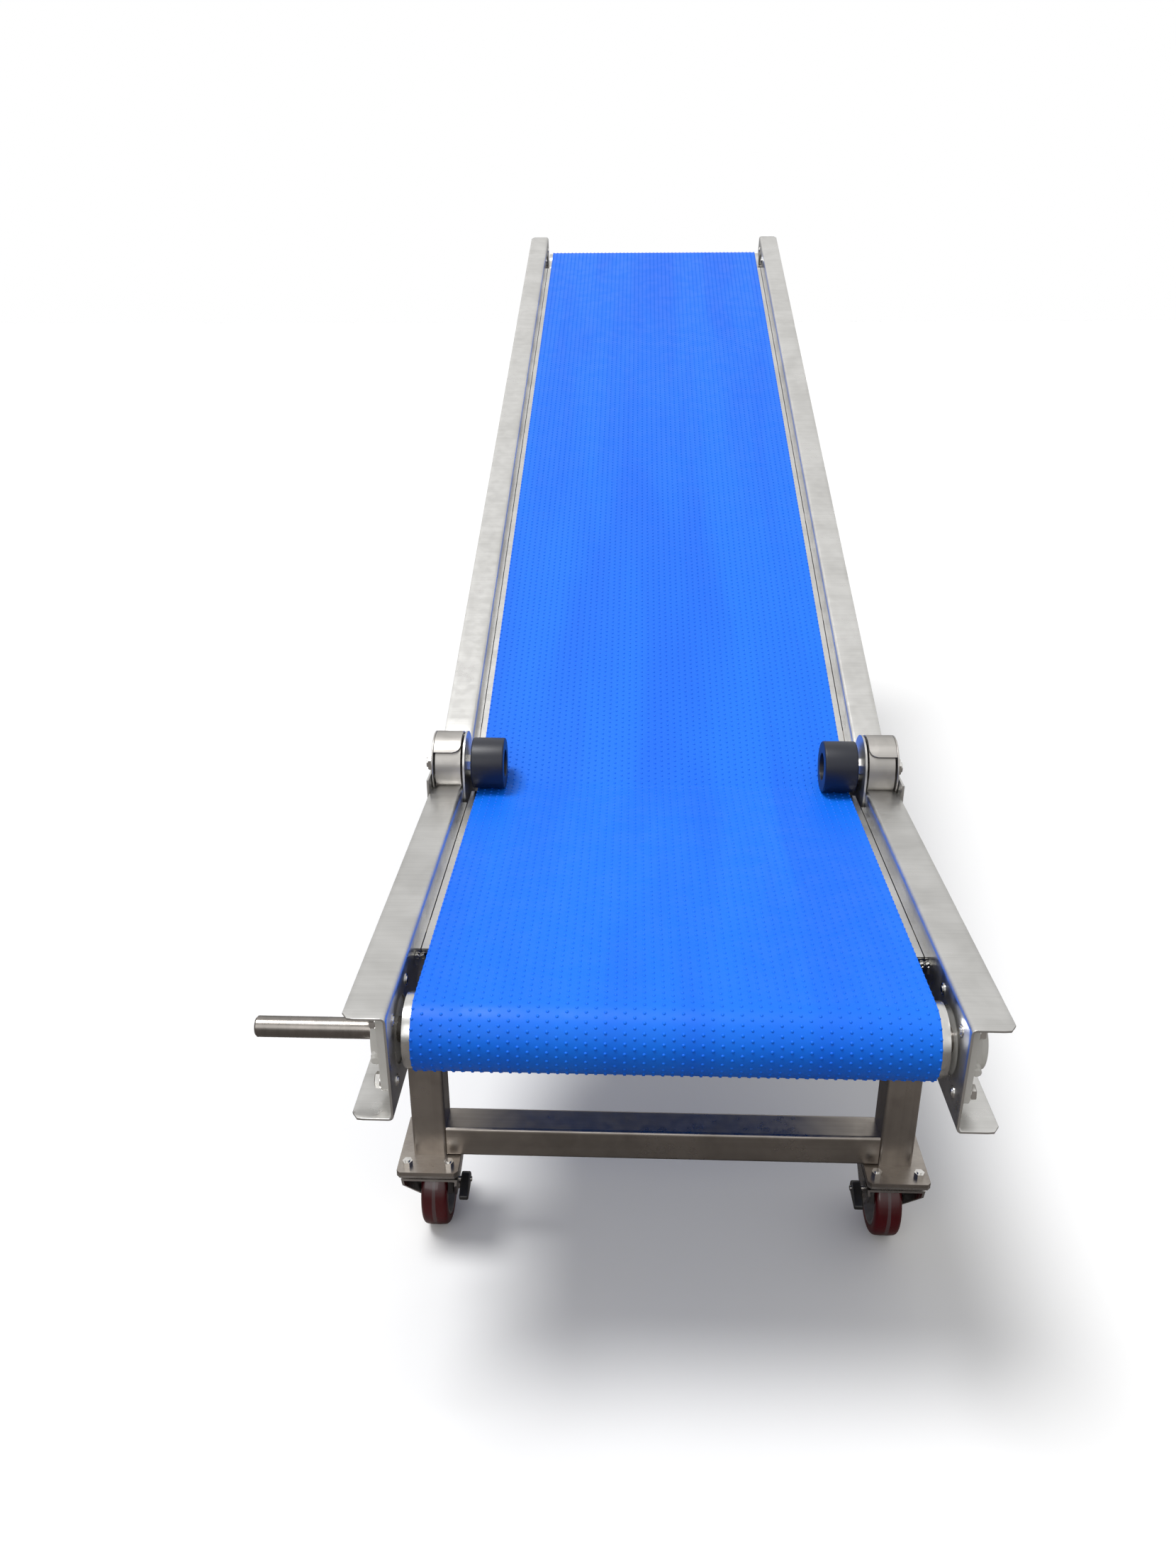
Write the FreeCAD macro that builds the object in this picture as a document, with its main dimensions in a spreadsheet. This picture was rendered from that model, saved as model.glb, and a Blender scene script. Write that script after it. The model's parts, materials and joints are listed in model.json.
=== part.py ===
import FreeCAD, Part
import os
import re
import Sketcher

Vector = FreeCAD.Vector
doc = FreeCAD.newDocument("BeltConveyorSection")

# ---------------------------------------------------------------- driving sizes, millimetres and degrees
sizes = {
    # side frames
    "clearWidth": 636, "channelHeight": 140, "flangeWidth": 50, "sheetThick": 3, "cornerRound": 12,
    "kneeReach": 677, "upperLength": 2296, "incline": 21.8, "webGap": 5,
    # belt and drums
    "beltWidth": "=clearWidth - 36", "beltThick": 2.2, "beltDrop": 19, "beltClear": 0.3,
    "drumDia": 89, "drumWall": 4, "drumLength": "=beltWidth + 20", "drumEnd": 10, "driveInset": 74,
    "tailInset": 82,
    "shaftDia": 30, "stubDia": 25, "stubReach": 490, "stubChamfer": 2, "takeUpTravel": 25,
    # flanged bearing units
    "bearingSide": 108, "bearingBase": 14, "bearingBoss": 76, "bearingDepth": 32, "bearingRound": 12,
    "boltSpacing": 83, "boltDia": 10, "boltPlay": 0.5, "ringDia": 56, "runningFit": 0.05, "webOpening": 80,
    "headAcross": 17, "headHeight": 6.4, "washerDia": 20, "washerThick": 2, "nutHeight": 8, "boltTail": 2,
    "ribWidth": 24, "ribLength": 7.2, "bossStep": 6, "capDepth": 9, "capWall": 3, "ringInset": 4,
    "ringStep": 8, "shaftInset": 4, "bossLedge": 4,
    # slider bed and its carriers
    "bedThick": 3, "bedOverhang": 9.5, "bedStart": 180, "bedKneeGap": 16, "railLedge": 7, "railThick": 2,
    "railDepth": 25, "crossDepth": 20, "crossWidth": 30, "crossFirst": 45, "crossPitch": 340,
    "railKneeGap": 8.5, "cutOver": 1,
    # knee joint
    "wheelDia": 82, "wheelWidth": 52, "wheelRecess": 14, "wheelBoreDia": 44, "wheelGap": 8,
    "kneeAxleDia": 16, "hubDia": "=wheelDia + 13", "hubWall": 3, "coverDia": "=wheelDia + 21",
    "coverWall": 2.5, "coverBack": 64.3,
    "coverFront": 208.2, "kneePlateThick": 3, "kneePlateGap": 0.5, "clampThick": 3, "clampDia": 60,
    "wheelPlay": 0.3, "wheelRound": 2.5, "axleHeadDia": 26, "axleNutAcross": 24, "carryPlace": 1180,
    "hangerThick": 5, "hangerWidth": 44, "returnRollerDia": 48, "returnAxleDia": 12, "rollerWall": 3,
    "rollerSpare": 4, "kneeSlack": 44, "clampFoot": 75, "coverPlay": 1, "hubPlay": 3, "axleTail": 3,
    "axleHeadThick": 6, "hangerRise": 15,
    # legs and stands
    "tubeSide": 50, "tubeWall": 3, "tubeRound": 5, "legFront": 300, "legLength": 315, "legPlate": 6,
    "legPlateLength": 118, "legBoltPitch": 88, "rearPivot": 1430, "pivotDrop": 34, "pivotPinDia": 16,
    "sleeveLength": 480, "sleeveGap": 45, "postSide": 43, "postLength": 560, "rearBarDrop": 120,
    "earThick": 5, "earDia": 40, "tongueWidth": 30, "clampHeight": 40, "knobAcross": 36, "knobLength": 18,
    "knobStandOff": 12, "screwGap": 0.3, "pinTail": 6,
    # casters
    "casterHeight": 158, "casterWheelDia": 125, "treadWidth": 40, "casterTrail": 30, "tyreThick": 15,
    "plateWidth": 90, "plateLength": 126, "plateThick": 4, "plateCut": 5, "casterBoltX": 61,
    "casterBoltY": 92, "casterBoltDia": 8, "boltHeadDia": 14.4,
    "boltHeadHeight": 5, "casterNutAcross": 13, "swivelGap": 0.5, "forkLip": 17, "rimWall": 4,
    "tyreRound": 7,
    "pedalNear": 39, "pedalFar": 53, "pedalSeat": 6, "pedalPlace": 4, "pedalDrop": 64, "pedalPinDia": 8,
    "pedalBossDia": 22, "pedalReach": 34, "pedalPinTail": 2, "racewayDia": 68, "racewayDepth": 14,
    "forkThick": 4, "forkTop": 84,
    "forkBottom": 55, "forkDepth": 100, "casterAxleDia": 12, "coreWidth": 46, "kingpinDia": 12,
    "kingpinTail": 5, "axleTailCaster": 9, "coreHubStep": 2, "coreWebStep": 5, "rimInset": 1.5,
    "flankDrop": 12, "flankBack": 30, "flankSwell": 4, "padHigh": 6, "padLow": 12,
}

sheet = doc.addObject("Spreadsheet::Sheet", "Sizes")
for line, (alias, number) in enumerate(sizes.items(), start=1):
    sheet.set(f"A{line}", alias)
    sheet.set(f"B{line}", str(number))
    sheet.setAlias(f"B{line}", alias)
doc.recompute()

aliasWords = re.compile(r"\b(" + "|".join(sizes) + r")\b")


def tie(text):
    """The same expression with each size named as a cell of the sheet."""
    return aliasWords.sub(r"Sizes.\1", str(text))


# ---------------------------------------------------------------- places worked out from the sizes
webOuter = "(clearWidth / 2 + sheetThick)"
frameHalf = "(clearWidth / 2 + flangeWidth)"
deckHeight = "(casterHeight + legPlate + legLength + channelHeight)"
beltInner = "(beltDrop + beltThick)"
drumDrop = f"({beltInner} + beltClear + drumDia / 2)"
loopInner = "(drumDia / 2 + beltClear)"
loopOuter = f"({loopInner} + beltThick)"
returnInner = f"({drumDrop} + {loopInner})"
kneeRise = "(wheelDia / 2 + beltClear - beltDrop)"
returnLift = "(returnRollerDia / 2 + beltClear)"
returnDrop = f"({returnInner} - {returnLift})"
returnShift = f"(({kneeRise} + {returnDrop}) * tan(incline / 2))"
tailPlace = "(upperLength - tailInset)"
legCentreX = "(clearWidth / 2 + tubeSide / 2)"
legCentreY = "(legFront + tubeSide / 2)"
pivotLevel = "(channelHeight + pivotDrop)"

frames = {
    "lower": ("0", "-driveInset", deckHeight, None),
    "upper": ("0", f"kneeReach - driveInset + {kneeRise} * sin(incline)",
              f"{deckHeight} + {kneeRise} * (1 - cos(incline))", "incline"),
}
pivotY = f"({frames['upper'][1]} + rearPivot * cos(incline) + {pivotLevel} * sin(incline))"
pivotZ = f"({frames['upper'][2]} + rearPivot * sin(incline) - {pivotLevel} * cos(incline))"
frames["rear"] = ("0", pivotY, pivotZ, None)
frames["rearFloor"] = ("0", pivotY, "0", None)

subParts = []


# ---------------------------------------------------------------- builders
def bind(thing, **expressions):
    for prop, text in expressions.items():
        thing.setExpression(prop.replace("_", "."), tie(text))


def place(thing, x, y, z):
    bind(thing, Placement_Base_x=x, Placement_Base_y=y, Placement_Base_z=z)
    return thing


def box(name, width, depth, height, x, y, z):
    """A block from its lowest corner."""
    block = doc.addObject("Part::Box", name)
    bind(block, Length=width, Width=depth, Height=height)
    return place(block, x, y, z)


turnTo = {
    "X": FreeCAD.Rotation(Vector(0, 1, 0), 90),
    "Y": FreeCAD.Rotation(Vector(1, 0, 0), -90),
    "Z": FreeCAD.Rotation(),
}


def rod(name, axis, radius, length, x, y, z):
    """A cylinder that starts at the given point and runs along +axis."""
    bar = doc.addObject("Part::Cylinder", name)
    bar.Placement = FreeCAD.Placement(Vector(), turnTo[axis])
    bind(bar, Radius=radius, Height=length)
    return place(bar, x, y, z)


def hexagon(name, axis, across, length, x, y, z):
    """A six-sided bar that starts at the given point and runs along +axis."""
    bar = doc.addObject("Part::Prism", name)
    bar.Polygon = 6
    bar.Placement = FreeCAD.Placement(Vector(), turnTo[axis])
    bind(bar, Circumradius=f"({across}) / sqrt(3)", Height=length)
    return place(bar, x, y, z)


def fuse(name, pieces):
    union = doc.addObject("Part::MultiFuse", name)
    union.Shapes = pieces
    union.Refine = True
    return union


def cut(name, base, tools):
    result = doc.addObject("Part::Cut", name)
    result.Base = base
    result.Tool = tools[0] if len(tools) == 1 else fuse(name + "Tools", tools)
    return result


def common(name, first, second):
    overlap = doc.addObject("Part::MultiCommon", name)
    overlap.Shapes = [first, second]
    return overlap


def outline(body, name, plane, points, offset):
    """A closed polygon sketch whose corners are all tied to the sheet."""
    sketch = body.newObject("Sketcher::SketchObject", name)
    origin = [item for item in body.Origin.OriginFeatures if item.Role == plane + "_Plane"]
    sketch.AttachmentSupport = (origin[0], [""])
    sketch.MapMode = "FlatFace"
    sketch.setExpression("AttachmentOffset.Base.z", tie(offset))
    corners = [(sheet.evalExpression(tie(u)), sheet.evalExpression(tie(v))) for u, v in points]
    corners = [Vector(float(u), float(v), 0) for u, v in corners]
    count = len(corners)
    for index in range(count):
        sketch.addGeometry(Part.LineSegment(corners[index], corners[(index + 1) % count]), False)
    for index in range(count):
        sketch.addConstraint(Sketcher.Constraint("Coincident", index, 2, (index + 1) % count, 1))
    for index, (u, v) in enumerate(points):
        for kind, text, now in (("DistanceX", u, corners[index].x), ("DistanceY", v, corners[index].y)):
            number = sketch.addConstraint(Sketcher.Constraint(kind, -1, 1, index, 1, now))
            sketch.setExpression(f"Constraints[{number}]", tie(text))
    return sketch


def prism(name, plane, points, start, depth):
    """A polygon pushed along the plane's +normal: +Z for XY, +Y for XZ, +X for YZ."""
    body = doc.addObject("PartDesign::Body", name)
    flipped = plane == "XZ"
    sketch = outline(body, name + "Outline", plane, points, f"-({start})" if flipped else start)
    pad = body.newObject("PartDesign::Pad", name + "Pad")
    pad.Profile = sketch
    pad.Reversed = flipped
    pad.setExpression("Length", tie(depth))
    body.Tip = pad
    doc.recompute()
    return body


def turned(name, points, x="0", y="0", z="0"):
    """A half profile (along X, outwards) turned once round an axis along X."""
    body = doc.addObject("PartDesign::Body", name)
    sketch = outline(body, name + "Profile", "XY", points, "0")
    spin = body.newObject("PartDesign::Revolution", name + "Turn")
    spin.Profile = sketch
    spin.ReferenceAxis = (sketch, ["H_Axis"])
    spin.Angle = 360
    body.Tip = spin
    doc.recompute()
    return place(body, x, y, z)


def rounded(body, radius, wanted):
    """Rounds each edge of the body's last feature for which wanted(edge) is true."""
    last = body.Tip
    names = [f"Edge{number}" for number, edge in enumerate(last.Shape.Edges, start=1) if wanted(edge)]
    fillet = body.newObject("PartDesign::Fillet", body.Name + "Round")
    fillet.Base = (last, names)
    fillet.setExpression("Radius", tie(radius))
    body.Tip = fillet
    doc.recompute()
    return body


def alongAxis(axis, reach=0.0):
    """Picks straight edges that run along one axis and are longer than reach."""
    def wanted(edge):
        if not isinstance(edge.Curve, Part.Line) or edge.Length <= reach:
            return False
        return abs(edge.Curve.Direction.dot(axis)) > 0.999
    return wanted


def finish(label, frame, pieces):
    """Names a sub-part and puts it into the frame that it belongs to."""
    part = doc.addObject("Part::Compound", label)
    part.Label = label
    part.Links = pieces
    x, y, z, angle = frames[frame] if isinstance(frame, str) else frame
    if angle:
        part.Placement = FreeCAD.Placement(Vector(), FreeCAD.Rotation(Vector(1, 0, 0), 1))
        part.setExpression("Placement.Rotation.Angle", tie(angle))
    place(part, x, y, z)
    subParts.append(part)
    return part


sides = {"left": -1, "right": 1}


def span(side, near, far):
    """Start and length of a stretch across the conveyor, given from the centre plane outwards."""
    start = f"({near})" if side > 0 else f"(-({far}))"
    return start, f"(({far}) - ({near}))"


def boltAt(name, side, x, y, z, grip):
    """A hexagon bolt through the web: head and washer outside at x, nut and washer on the inner face."""
    washer = span(side, x, f"({x}) + washerThick")
    head = span(side, f"({x}) + washerThick", f"({x}) + washerThick + headHeight")
    inner = f"({x}) - ({grip})"
    shank = span(side, f"{inner} - nutHeight - boltTail", f"({x}) + washerThick")
    nut = span(side, f"{inner} - nutHeight", inner)
    return fuse(name, [
        rod(name + "Washer", "X", "washerDia / 2", washer[1], washer[0], y, z),
        hexagon(name + "Head", "X", "headAcross", head[1], head[0], y, z),
        rod(name + "Shank", "X", "boltDia / 2", shank[1], shank[0], y, z),
        hexagon(name + "Nut", "X", "headAcross", nut[1], nut[0], y, z),
    ])


corners = [(-1, -1), (1, -1), (1, 1), (-1, 1)]


# ---------------------------------------------------------------- side channels
def channel(label, frame, side, webStart, webEnd, flangeStart, flangeEnd, tools):
    """A folded channel, flanges outwards, with the free corners of its flanges rounded off."""
    web = span(side, "clearWidth / 2", webOuter)
    name = "".join(word.capitalize() for word in label.split("_"))
    tipX = f"{side} * {frameHalf}"
    bend = f"{side} * ({frameHalf} - cornerRound)"
    layers = []
    for tag, level in (("Top", "-sheetThick"), ("Bottom", "-channelHeight")):
        points = [(f"{side} * clearWidth / 2", flangeStart), (bend, flangeStart),
                  (tipX, f"{flangeStart} + cornerRound"), (tipX, f"{flangeEnd} - cornerRound"),
                  (bend, flangeEnd), (f"{side} * clearWidth / 2", flangeEnd)]
        layers.append(prism(name + tag, "XY", points, level, "sheetThick"))
    wall = box(name + "Web", web[1], f"({webEnd}) - ({webStart})", "channelHeight", web[0], webStart,
               "-channelHeight")
    body = fuse(name + "Fold", layers + [wall])
    finish(label, frame, [cut(name + "Holed", body, tools(name, side))])


def lowerHoles(name, side):
    near, length = span(side, "clearWidth / 2 - cutOver", f"{webOuter} + cutOver")
    tools = [rod(name + "Opening", "X", "webOpening / 2", length, near, "driveInset", f"-{drumDrop}")]
    for index, (a, b) in enumerate(corners):
        tools.append(rod(f"{name}Bolt{index}", "X", "boltDia / 2 + boltPlay", length, near,
                         f"driveInset + {a} * boltSpacing / 2", f"-{drumDrop} + {b} * boltSpacing / 2"))
    for index, step in enumerate((-1, 1)):
        tools.append(rod(f"{name}LegBolt{index}", "Z", "boltDia / 2 + boltPlay", "sheetThick + 2 * cutOver",
                         f"{side} * {legCentreX}", f"{legCentreY} + {step} * legBoltPitch / 2",
                         "-channelHeight - cutOver"))
    return tools


def upperHoles(name, side):
    """The shaft opening and the bolt slots run back by the take-up travel."""
    near, length = span(side, "clearWidth / 2 - cutOver", f"{webOuter} + cutOver")
    tools = []
    holes = [("Opening", "webOpening / 2", "0", "0")]
    for index, (a, b) in enumerate(corners):
        holes.append((f"Slot{index}", "boltDia / 2 + boltPlay", f"{a} * boltSpacing / 2",
                      f"{b} * boltSpacing / 2"))
    for tag, radius, along, up in holes:
        middle = f"{tailPlace} + {along}"
        level = f"-{drumDrop} + {up}"
        tools.append(rod(name + tag + "Far", "X", radius, length, near, middle, level))
        tools.append(rod(name + tag + "Near", "X", radius, length, near, f"{middle} - takeUpTravel", level))
        tools.append(box(name + tag + "Run", length, "takeUpTravel", f"2 * ({radius})", near,
                         f"{middle} - takeUpTravel", f"{level} - ({radius})"))
    for index, step in enumerate((-1, 1)):
        tools.append(rod(f"{name}PivotBolt{index}", "Z", "boltDia / 2 + boltPlay",
                         "sheetThick + 2 * cutOver",
                         f"{side} * {legCentreX}", f"rearPivot + {step} * legBoltPitch / 2",
                         "-channelHeight - cutOver"))
    return tools


hubFoot = f"sqrt(hubDia * hubDia / 4 - {kneeRise} * {kneeRise})"
coverFoot = f"sqrt(coverDia * coverDia / 4 - {kneeRise} * {kneeRise})"
for sideName, side in sides.items():
    channel(f"lower_channel_{sideName}", "lower", side, "0", "kneeReach - webGap", "0",
            f"(kneeReach - {hubFoot})", lowerHoles)
    channel(f"upper_channel_{sideName}", "upper", side, "webGap", "upperLength", f"{coverFoot}",
            "upperLength", upperHoles)


# ---------------------------------------------------------------- slider beds, rails and cross members
def deck(prefix, frame, bedFrom, bedTo, railFrom, railTo):
    """The flat bed under the belt, a ledge along each web beside it and the tubes that carry it."""
    name = prefix.capitalize()
    bedHalf = "(beltWidth / 2 + bedOverhang)"
    bed = box(name + "Bed", f"2 * {bedHalf}", f"({bedTo}) - ({bedFrom})", "bedThick", f"-{bedHalf}", bedFrom,
              f"-{beltInner} - bedThick")
    finish(f"{prefix}_slider_bed", frame, [bed])
    rails = []
    for sideName, side in sides.items():
        points = [(f"{side} * clearWidth / 2", f"-{beltInner}"),
                  (f"{side} * (clearWidth / 2 - railLedge)", f"-{beltInner}"),
                  (f"{side} * (clearWidth / 2 - railLedge)", f"-{beltInner} - bedThick"),
                  (f"{side} * (clearWidth / 2 - railThick)", f"-{beltInner} - bedThick"),
                  (f"{side} * (clearWidth / 2 - railThick)", f"-{beltInner} - railDepth"),
                  (f"{side} * clearWidth / 2", f"-{beltInner} - railDepth")]
        rails.append(prism(f"{name}Rail{sideName.capitalize()}", "XZ", points, railFrom,
                           f"({railTo}) - ({railFrom})"))
    finish(f"{prefix}_bed_rails", frame, rails)
    reach = sheet.evalExpression(tie(f"({railTo}) - ({railFrom}) - crossFirst - crossWidth"))
    half = "(clearWidth / 2 - railThick)"
    level = f"-{beltInner} - bedThick - crossDepth"
    tubes = []
    for index in range(int(float(reach) // sizes["crossPitch"]) + 1):
        along = f"{railFrom} + crossFirst + {index} * crossPitch"
        outer = box(f"{name}Cross{index}", f"2 * {half}", "crossWidth", "crossDepth", f"-{half}", along,
                    level)
        inner = box(f"{name}CrossHollow{index}", f"2 * ({half} + cutOver)", "crossWidth - 2 * railThick",
                    "crossDepth - 2 * railThick", f"-{half} - cutOver", f"{along} + railThick",
                    f"{level} + railThick")
        tubes.append(cut(f"{name}CrossTube{index}", outer, [inner]))
    finish(f"{prefix}_cross_members", frame, tubes)


railReach = "(coverDia / 2 + railKneeGap)"
tailEdge = f"({tailPlace} - drumDia / 2 - takeUpTravel - crossWidth)"
deck("lower", "lower", "bedStart", "(kneeReach - bedKneeGap)", "bedStart", f"(kneeReach - {railReach})")
deck("upper", "upper", "bedKneeGap", tailEdge, railReach, tailEdge)


# ---------------------------------------------------------------- belt
def beltRun(label, frame, topStart, topEnd, backStart, backEnd, drumAt, halfTurn):
    """Upper run, lower run and the half turn round one drum, as one band."""
    name = label.title().replace("_", "")
    across = ("beltWidth", "-beltWidth / 2")
    top = box(name + "Top", across[0], f"({topEnd}) - ({topStart})", "beltThick", across[1], topStart,
              f"-{beltInner}")
    back = box(name + "Back", across[0], f"({backEnd}) - ({backStart})", "beltThick", across[1], backStart,
               f"-{returnInner} - beltThick")
    outer = rod(name + "Outer", "X", loopOuter, across[0], across[1], drumAt, f"-{drumDrop}")
    inner = rod(name + "Inner", "X", loopInner, "beltWidth + 2 * cutOver", "-beltWidth / 2 - cutOver",
                drumAt, f"-{drumDrop}")
    keep = box(name + "Half", "beltWidth + 2 * cutOver", loopOuter, f"2 * {loopOuter}",
               "-beltWidth / 2 - cutOver",
               f"({drumAt}) - {loopOuter}" if halfTurn < 0 else drumAt, f"-{drumDrop} - {loopOuter}")
    turn = common(name + "Turn", cut(name + "Ring", outer, [inner]), keep)
    finish(label, frame, [fuse(name + "Band", [top, back, turn])])


beltRun("lower_belt", "lower", "driveInset", "kneeReach", "driveInset", f"(kneeReach + {returnShift})",
        "driveInset", -1)
beltRun("upper_belt", "upper", "0", tailPlace, f"(kneeSlack - {returnShift})", tailPlace, tailPlace, 1)


def beltBend(name, innerRadius, outerRadius, y, z):
    """The slice of the band that bends round a wheel or roller at the knee."""
    slab = doc.addObject("Part::Cylinder", name + "Outer")
    core = doc.addObject("Part::Cylinder", name + "Inner")
    for bar, radius in ((slab, outerRadius), (core, innerRadius)):
        bar.Placement = FreeCAD.Placement(Vector(), FreeCAD.Rotation(Vector(0, 1, 0), 90))
        bind(bar, Radius=radius, Height="beltWidth", Angle="incline")
        place(bar, "-beltWidth / 2", y, z)
    return cut(name, slab, [core])


topBend = beltBend("TopBend", "wheelDia / 2 + beltClear", "wheelDia / 2 + beltClear + beltThick",
                   "kneeReach", kneeRise)
backBend = beltBend("BackBend", returnLift, f"{returnLift} + beltThick",
                    f"kneeReach + {returnShift}", f"-{returnDrop}")
backFlat = doc.addObject("Part::Box", "BackFlat")
backFlat.Placement = FreeCAD.Placement(Vector(), FreeCAD.Rotation(Vector(1, 0, 0), 1))
bind(backFlat, Length="beltWidth", Width="kneeSlack", Height="beltThick", Placement_Rotation_Angle="incline")
place(backFlat, "-beltWidth / 2", f"kneeReach + {returnShift} + ({returnLift} + beltThick) * sin(incline)",
      f"-{returnDrop} - ({returnLift} + beltThick) * cos(incline)")
finish("knee_belt", "lower", [topBend, fuse("BackSlack", [backBend, backFlat])])


# ---------------------------------------------------------------- drums and shafts
def drum(label, frame, along):
    half = "drumLength / 2"
    outer = "drumDia / 2"
    inner = "(drumDia / 2 - drumWall)"
    bore = "shaftDia / 2"
    points = [(f"-{half}", bore), (f"-{half}", outer), (half, outer), (half, bore),
              (f"{half} - drumEnd", bore), (f"{half} - drumEnd", inner),
              (f"-{half} + drumEnd", inner), (f"-{half} + drumEnd", bore)]
    name = label.title().replace("_", "")
    shell = turned(name, points, "0", along, f"-{drumDrop}")
    finish(label, frame, [shell])


drum("drive_drum", "lower", "driveInset")
drum("tail_drum", "upper", tailPlace)

capEnd = f"({webOuter} + bearingDepth)"
driveShaft = turned("DriveShaft", [
    ("-stubReach", "0"), ("-stubReach", "stubDia / 2 - stubChamfer"), ("-stubReach + stubChamfer",
                                                                       "stubDia / 2"),
    (f"-{capEnd}", "stubDia / 2"), (f"-{capEnd}", "shaftDia / 2"),
    (f"{capEnd} - shaftInset", "shaftDia / 2"), (f"{capEnd} - shaftInset", "0")], "0", "driveInset",
    f"-{drumDrop}")
finish("drive_shaft", "lower", [driveShaft])
tailShaft = turned("TailShaft", [
    (f"-({capEnd} - shaftInset)", "0"), (f"-({capEnd} - shaftInset)", "shaftDia / 2"),
    (f"{capEnd} - shaftInset", "shaftDia / 2"),
    (f"{capEnd} - shaftInset", "0")], "0", tailPlace, f"-{drumDrop}")


# ---------------------------------------------------------------- flanged bearing units
def bearing(label, side, along):
    """A square four-bolt housing with a round boss, bored for the bearing's inner ring."""
    name = label.title().replace("_", "")
    flatStart, flatLength = span(side, webOuter, f"{webOuter} + bearingBase")
    bossStart, bossLength = span(side, f"{webOuter} + bearingBase", f"{webOuter} + bearingDepth - bossStep")
    ribStart, ribLength = span(side, f"{webOuter} + bearingBase", f"{webOuter} + bearingBase + ribLength")
    plate = prism(name + "Plate", "YZ", [
        (f"({along}) + {a} * bearingSide / 2", f"-{drumDrop} + {b} * bearingSide / 2") for a, b in corners],
        flatStart, flatLength)
    rounded(plate, "bearingRound", alongAxis(Vector(1, 0, 0)))
    boss = rod(name + "Boss", "X", "bearingBoss / 2", bossLength, bossStart, along, f"-{drumDrop}")
    rib = box(name + "Rib", ribLength, "ribWidth", "bearingSide / 2 - bossLedge", ribStart,
              f"({along}) - ribWidth / 2", f"-{drumDrop}")
    near, length = span(side, f"{webOuter} - cutOver", f"{webOuter} + bearingDepth")
    tools = [rod(name + "Bore", "X", "ringDia / 2", length, near, along, f"-{drumDrop}")]
    for index, (a, b) in enumerate(corners):
        tools.append(rod(f"{name}Hole{index}", "X", "boltDia / 2 + boltPlay", length, near,
                         f"({along}) + {a} * boltSpacing / 2", f"-{drumDrop} + {b} * boltSpacing / 2"))
    return cut(name + "Housing", fuse(name + "Body", [plate, boss, rib]), tools)


def bearingRings(label, along):
    """The inner rings that grip the shaft and turn in the housings."""
    rings = []
    for sideName, side in sides.items():
        near, length = span(side, f"{webOuter} + ringInset", f"{webOuter} + bearingDepth - ringStep")
        name = label.title().replace("_", "") + sideName.capitalize()
        outer = rod(name + "Outer", "X", "ringDia / 2 - runningFit", length, near, along, f"-{drumDrop}")
        inner = rod(name + "Inner", "X", "shaftDia / 2", f"({length}) + 2 * cutOver", f"{near} - cutOver",
                    along, f"-{drumDrop}")
        rings.append(cut(name, outer, [inner]))
    return rings


def bearingBolts(name, side, along):
    return [boltAt(f"{name}{index}", side, f"{webOuter} + bearingBase",
                   f"({along}) + {a} * boltSpacing / 2", f"-{drumDrop} + {b} * boltSpacing / 2",
                   "bearingBase + sheetThick") for index, (a, b) in enumerate(corners)]


def endCap(name, side, along):
    """The dished cover that closes a bearing whose shaft ends inside it."""
    start = f"{webOuter} + bearingDepth - bossStep"
    base, length = span(side, start, f"{start} + capDepth")
    lid = rod(name + "Lid", "X", "bearingBoss / 2 - bossLedge", length, base, along, f"-{drumDrop}")
    roomStart, room = span(side, f"{start} - cutOver", f"{start} + capDepth - capWall")
    hollow = rod(name + "Room", "X", "ringDia / 2", room, roomStart, along, f"-{drumDrop}")
    return cut(name, lid, [hollow])


for sideName, side in sides.items():
    label = f"front_bearing_{sideName}"
    finish(label, "lower", [bearing(label, side, "driveInset")])
finish("tail_bearings", "upper", [bearing(f"tail_{sideName}", side, tailPlace) for sideName,
                                  side in sides.items()])
finish("drive_bearing_rings", "lower", bearingRings("drive_rings", "driveInset"))
finish("tail_shaft", "upper", [tailShaft] + bearingRings("tail_rings", tailPlace))
finish("front_bearing_cap", "lower", [endCap("FrontCap", 1, "driveInset")])
finish("tail_bearing_caps", "upper", [endCap("TailCapLeft", -1, tailPlace), endCap("TailCapRight", 1,
                                                                                   tailPlace)])
finish("front_bearing_bolts", "lower",
       bearingBolts("FrontBoltLeft", -1, "driveInset") + bearingBolts("FrontBoltRight", 1, "driveInset"))
finish("tail_bearing_bolts", "upper",
       bearingBolts("TailBoltLeft", -1, tailPlace) + bearingBolts("TailBoltRight", 1, tailPlace))

# ---------------------------------------------------------------- knee joint
plateInner = "(clearWidth / 2 - kneePlateGap - kneePlateThick)"
wheelFar = f"({plateInner} - wheelGap)"
wheelNear = f"({wheelFar} - wheelWidth)"
discInner = f"({frameHalf} - coverWall - coverPlay)"
axleEnd = f"({frameHalf} + clampThick + nutHeight + axleTail)"

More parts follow.
